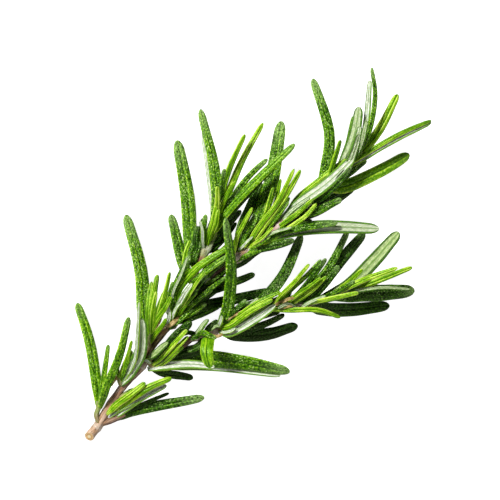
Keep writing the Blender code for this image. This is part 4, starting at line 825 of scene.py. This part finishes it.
def leaf_material(name):
    """Leaf skin: pebbly waxy green with pale tips above, pale felt below; painted rim light, crest
    highlight, glints, groove and pebble shade.
    """
    n = Nodes(name)
    spot = n.node("ShaderNodeSeparateXYZ")
    n.join(n.attribute("spot").outputs["Vector"], spot.inputs[0])
    across = spot.outputs[0]
    edge = n.math("ABSOLUTE", across)
    along = spot.outputs[1]
    under = n.step(spot.outputs[2], 0.35, 0.65)
    tone = n.attribute("tone").outputs["Fac"]
    seed = n.attribute("seed").outputs["Fac"]
    grain = n.attribute("grain").outputs["Vector"]
    blotch = n.noise(n.stretch(grain, BLOTCH_CELLS), 1.0, 2.0, 0.5)
    streak = n.noise(n.stretch(grain, STREAK_CELLS), 1.0, 3.0, 0.65)
    lines = n.noise(n.stretch(grain, LINE_CELLS), 1.0, 2.0, 0.6)
    young = n.step(tone, *YOUNG_TONE)
    grit = n.noise(n.stretch(grain, GRIT_CELLS), 1.0, 2.0, 0.6)
    pebble = n.node("ShaderNodeTexVoronoi", feature="F1")
    n.join(n.stretch(grain, PEBBLE_CELLS), pebble.inputs["Vector"])
    pebble.inputs["Scale"].default_value = 1.0
    pebbles = pebble.outputs["Distance"]
    luck = n.node("ShaderNodeSeparateColor")
    n.join(pebble.outputs["Color"], luck.inputs[0])
    # Both edges are lightened: partly a paler margin, partly painted rim light.
    margin_rim_light = n.step(edge, *MARGIN_RIM_LIGHT_EDGE)
    foot = n.step(along, *FOOT_REACH)
    groove = n.step(edge, *GROOVE_EDGE)
    # A painted highlight along one side of the groove, the side set by the seed.
    which = n.math("GREATER_THAN", seed, 0.35)
    lit_crest_side = n.times(across, n.plus_times(which, 2.0, -1.0))
    crest_highlight = n.times(n.step(lit_crest_side, 0.08, 0.22), n.step(lit_crest_side, 0.46, 0.28))
    # Painted shade between the pebbles, painted light on their domes.
    marks = n.times(n.math("SUBTRACT", 0.40, pebbles), PEBBLE_SHADE_GAIN)
    for pattern, gain in ((streak, STREAK_GAIN), (grit, GRIT_GAIN)):
        marks = n.plus_times(n.math("SUBTRACT", pattern, 0.5), gain, marks)
    marks = n.times(marks, n.plus_times(young, -YOUNG_CALM, 1.0))
    line_gain = n.plus_times(young, LINE_GAIN, OLD_LINE_GAIN)
    marks = n.plus_times(n.math("SUBTRACT", lines, 0.5), line_gain, marks)
    marks = n.plus_times(n.math("SUBTRACT", blotch, 0.5), BLOTCH_GAIN, marks)
    # The groove darkening here is painted shade.
    for pattern, gain in ((margin_rim_light, MARGIN_RIM_LIGHT_GAIN), (crest_highlight, CREST_HIGHLIGHT_GAIN), (foot, FOOT_GAIN), (groove, GROOVE_SHADE_GAIN)):
        marks = n.plus_times(pattern, gain, marks)
    marks = n.plus_times(young, YOUNG_SHADE, marks)
    shade = n.plus_times(marks, n.plus_times(tone, *MARK_GROWTH), tone)
    green = n.ramp(shade, LEAF_TONES)
    # Pale specks on pebble centres: partly hairs, partly painted glints.
    speck_glints = n.times(n.step(pebbles, 0.46, 0.16), n.step(luck.outputs[0], 0.50, 0.85))
    grown = n.times(n.step(tone, *SPECK_GLINT_TONE), n.math("SUBTRACT", 1.0, young))
    speck_glints = n.times(speck_glints, n.times(n.step(blotch, 0.36, 0.58), grown))
    green = n.mix(n.times(speck_glints, SPECK_GLINT_SHARE), green, SPECK_GLINT_PALE)
    frost = n.times(n.step(along, *FROST_REACH), n.step(grit, 0.30, 0.62))
    green = n.mix(n.times(n.times(frost, grown), FROST_SHARE), green, FROST_PALE)
    rib = n.step(edge, *RIB_EDGE)
    lip = n.step(edge, *LIP_EDGE)
    nap = n.noise(n.stretch(grain, NAP_CELLS), 1.0, 3.0, 0.7)
    felt = n.mix(n.step(tone, 0.2, 0.9), n.ramp(nap, FELT_GREEN), n.ramp(nap, FELT_WHITE))
    pale = n.mix(n.times(rib, 0.8), felt, RIB_GREEN)
    lips = n.ramp(n.plus_times(shade, 0.55, 0.12), LEAF_TONES)
    pale = n.mix(n.times(lip, 0.95), pale, lips)
    n.put("Base Color", n.mix(under, green, pale))
    gloss = n.plus_times(blotch, 0.28, 0.18)
    n.put("Roughness", n.plus_times(under, 0.5, gloss))
    n.put("Specular IOR Level", 0.42)
    n.put("Specular Tint", (0.75, 1.0, 0.4, 1.0))
    height = n.plus_times(pebbles, -1.0, n.times(streak, 0.7))
    height = n.times(height, n.plus_times(young, -0.6, 1.0))
    height = n.plus_times(lines, 0.8, height)
    height = n.plus_times(groove, -0.5, height)
    n.put("Normal", n.bump(height, LEAF_BUMP, 0.9))
    n.put("Subsurface Weight", 0.05)
    n.put("Subsurface Radius", (0.5, 0.9, 0.1))
    n.put("Subsurface Scale", 0.0005)
    return n.made


def stem_material(name, tones, contrast, sheen):
    """Stem skin: fibres along the stem with painted shade in their crevices and pale tops that are partly
    painted highlight, a tint that changes along it and white felt at the joints.
    """
    n = Nodes(name)
    spot = n.node("ShaderNodeSeparateXYZ")
    n.join(n.attribute("spot").outputs["Vector"], spot.inputs[0])
    grain = n.attribute("grain").outputs["Vector"]
    tone = n.attribute("tone").outputs["Fac"]
    fibre = n.noise(n.stretch(grain, FIBRE_CELLS), 1.0, 4.0, 0.65)
    ridge = n.noise(n.stretch(grain, RIDGE_CELLS), 1.0, 2.0, 0.5)
    patch = n.noise(n.stretch(grain, PATCH_CELLS), 1.0, 2.0, 0.5)
    grit = n.noise(grain, STEM_GRIT_CELLS, 2.0, 0.6)
    skin = n.ramp(n.plus_times(n.math("SUBTRACT", patch, 0.5), 0.5, tone), tones)
    rust = n.times(n.step(ridge, 0.50, 0.60), contrast)
    skin = n.mix(n.times(rust, 0.6), skin, RUST_ORANGE)
    # Painted shade in the crevices between fibres; pale fibre tops, partly painted highlight.
    crevice_shade = n.step(fibre, 0.49, 0.36)
    light = n.step(fibre, 0.52, 0.66)
    skin = n.mix(n.times(crevice_shade, contrast), skin, CREVICE_SHADE_BROWN)
    skin = n.mix(n.times(light, contrast * 0.8), skin, FIBRE_PALE_AND_HIGHLIGHT)
    felt = n.times(spot.outputs[2], n.step(grit, 0.38, 0.58))
    skin = n.mix(n.times(felt, 0.65), skin, HAIR_WHITE)
    n.put("Base Color", skin)
    n.put("Roughness", 0.66)
    n.put("Specular IOR Level", 0.3)
    n.put("Sheen Weight", sheen)
    height = n.plus_times(fibre, 1.0, n.times(grit, 0.4))
    n.put("Normal", n.bump(height, STEM_BUMP, 0.9))
    return n.made


def cut_material(name):
    """The cut face: a tan ring of wood round a pale pith."""
    n = Nodes(name)
    spot = n.node("ShaderNodeSeparateXYZ")
    n.join(n.attribute("spot").outputs["Vector"], spot.inputs[0])
    grain = n.attribute("grain").outputs["Vector"]
    mottle = n.noise(grain, 4.0, 3.0, 0.6)
    ring = n.plus_times(n.math("SUBTRACT", mottle, 0.5), 0.3, spot.outputs[2])
    n.put("Base Color", n.ramp(ring, CUT_TONES))
    n.put("Roughness", 0.85)
    n.put("Specular IOR Level", 0.2)
    n.put("Normal", n.bump(mottle, 0.0001, 0.6))
    return n.made


def dry_material(name):
    """Papery brown scales and a withered leaf."""
    n = Nodes(name)
    place_of = n.node("ShaderNodeTexCoord").outputs["Object"]
    cloud = n.noise(place_of, 900.0, 3.0, 0.6)
    n.put("Base Color", n.ramp(cloud, DRY_TONES))
    n.put("Roughness", 0.7)
    n.put("Specular IOR Level", 0.3)
    n.put("Normal", n.bump(cloud, 0.0002, 0.7))
    return n.made


def floor_material(name):
    """A plain white studio sweep, which looks bright but throws back little light of its own."""
    n = Nodes(name)
    place_of = n.node("ShaderNodeTexCoord").outputs["Object"]
    cloud = n.noise(place_of, 6.0, 2.0, 0.5)
    seen = n.node("ShaderNodeLightPath").outputs["Is Camera Ray"]
    n.put("Base Color", n.mix(cloud, FLOOR_LIGHT, FLOOR_WHITE))
    n.put("Roughness", 0.9)
    n.put("Specular IOR Level", 0.1)
    n.put("Emission Color", (1.0, 1.0, 1.0, 1.0))
    n.put("Emission Strength", n.times(seen, FLOOR_GLOW))
    return n.made


def area_light(name, spot, size, energy, colour):
    """A soft square light that looks at the sprig's middle."""
    lamp = bpy.data.lights.new(name, "AREA")
    lamp.shape = "SQUARE"
    lamp.size = size
    lamp.energy = energy
    lamp.color = colour
    obj = bpy.data.objects.new(name, lamp)
    obj.location = spot
    obj.rotation_euler = (-Vector(spot)).to_track_quat("-Z", "Y").to_euler()
    bpy.context.scene.collection.objects.link(obj)


def studio():
    """The pale floor, the soft light and the camera straight above the sprig."""
    mesh = bpy.data.meshes.new("floor")
    corners = [(x * FLOOR_HALF, y * FLOOR_HALF, 0.0) for x, y in ((-1, -1), (1, -1), (1, 1), (-1, 1))]
    mesh.from_pydata(corners, [], [(0, 1, 2, 3)])
    mesh.materials.append(floor_material("floor_white"))
    floor = bpy.data.objects.new("floor", mesh)
    floor.location.z = -FLOOR_DROP
    bpy.context.scene.collection.objects.link(floor)
    for light in LIGHTS:
        area_light(*light)
    world = bpy.data.worlds.new("studio")
    world.use_nodes = True
    world.node_tree.nodes["Background"].inputs["Color"].default_value = (1.0, 1.0, 1.0, 1.0)
    world.node_tree.nodes["Background"].inputs["Strength"].default_value = WORLD_LIGHT
    bpy.context.scene.world = world
    bpy.context.scene.view_settings.view_transform = "Standard"
    lens = bpy.data.cameras.new("camera")
    lens.sensor_width = SENSOR_WIDTH
    lens.lens = lens.sensor_width * CAMERA_HEIGHT / PHOTO_WIDTH
    lens.clip_end = CAMERA_HEIGHT * 3.0
    camera = bpy.data.objects.new("camera", lens)
    camera.location = place(*PHOTO_CENTRE, FOCUS_HEIGHT) + Vector((0.0, 0.0, CAMERA_HEIGHT))
    bpy.context.scene.collection.objects.link(camera)
    bpy.context.scene.camera = camera


def leafy_piece(name, node, core, shades, swellings, rows, seed, materials):
    """One leafy stem or spray with all its leaves."""
    shape = Shape()
    rng = random.Random(seed)
    add_stem(shape, core, shades, SURFACE_STEM, seed, swellings, ridge=0.07, rough=0.06)
    for row in rows:
        add_leaf(shape, row, rng)
    shape.piece(name, materials, node)


def sprig():
    """All the pieces of the sprig."""
    leaf = leaf_material("leaf_skin")
    stem = stem_material("green_stem", STEM_TONES, 0.4, 0.3)
    bark = stem_material("bark_skin", BARK_TONES, 0.75, 0.15)
    cut = cut_material("cut_wood")
    dry = dry_material("dry_scale")
    materials = (leaf, stem, dry, cut)
    wood = Shape()
    add_stem(wood, MAIN_WOOD, MAIN_WOOD_SHADES, SURFACE_STEM, 3.0, MAIN_WOOD_JOINTS, 0.04, 0.12, CUT_SLANT)
    add_stem(wood, SIDE_WOOD, SIDE_WOOD_SHADES, SURFACE_STEM, 11.0, SIDE_WOOD_JOINTS, 0.04, 0.12)
    wood.piece("woody_bark", (leaf, bark, dry, cut), "woody_stem")
    main = MAIN_LEAVES + under_leaves(MAIN_CORE, 1, 0.08, 0.72)
    upper = UPPER_LEAVES + under_leaves(UPPER_CORE, 2, 0.2, 0.6)
    side = SIDE_LEAVES + under_leaves(SIDE_CORE, 3, 0.15, 0.7)
    shoots = (
        ("main_leaves", "main_shoot", MAIN_CORE, MAIN_SHADES, MAIN_JOINTS, main, 21),
        ("upper_leaves", "upper_shoot", UPPER_CORE, UPPER_SHADES, UPPER_JOINTS, upper, 22),
        ("side_leaves", "side_shoot", SIDE_CORE, SIDE_SHADES, SIDE_JOINTS, side, 23),
    )
    for name, node, core, shades, swellings, rows, seed in shoots:
        leafy_piece(name, node, core, shades, swellings, rows, seed, materials)
    sprays = (
        ("basal_left", BASAL_LEFT_CORE, SPRAY_SHADES, BASAL_LEFT_LEAVES, 24),
        ("basal_right", BASAL_RIGHT_CORE, WOODY_SHADES, BASAL_RIGHT_LEAVES, 25),
        ("second_left", SECOND_LEFT_CORE, SPRAY_SHADES, SECOND_LEFT_LEAVES, 26),
        ("second_right", SECOND_RIGHT_CORE, SPRAY_SHADES, SECOND_RIGHT_LEAVES, 27),
        ("fork_left", FORK_LEFT_CORE, SPRAY_SHADES, FORK_LEFT_LEAVES, 28),
        ("fork_right", FORK_RIGHT_CORE, SPRAY_SHADES, FORK_RIGHT_LEAVES, 29),
        ("side_node", SIDE_NODE_CORE, SPRAY_SHADES, SIDE_NODE_LEAVES, 30),
    )
    for name, core, shades, rows, seed in sprays:
        leafy_piece(name, name + "_spray", core, shades, (), rows, seed, materials)


sprig()
studio()
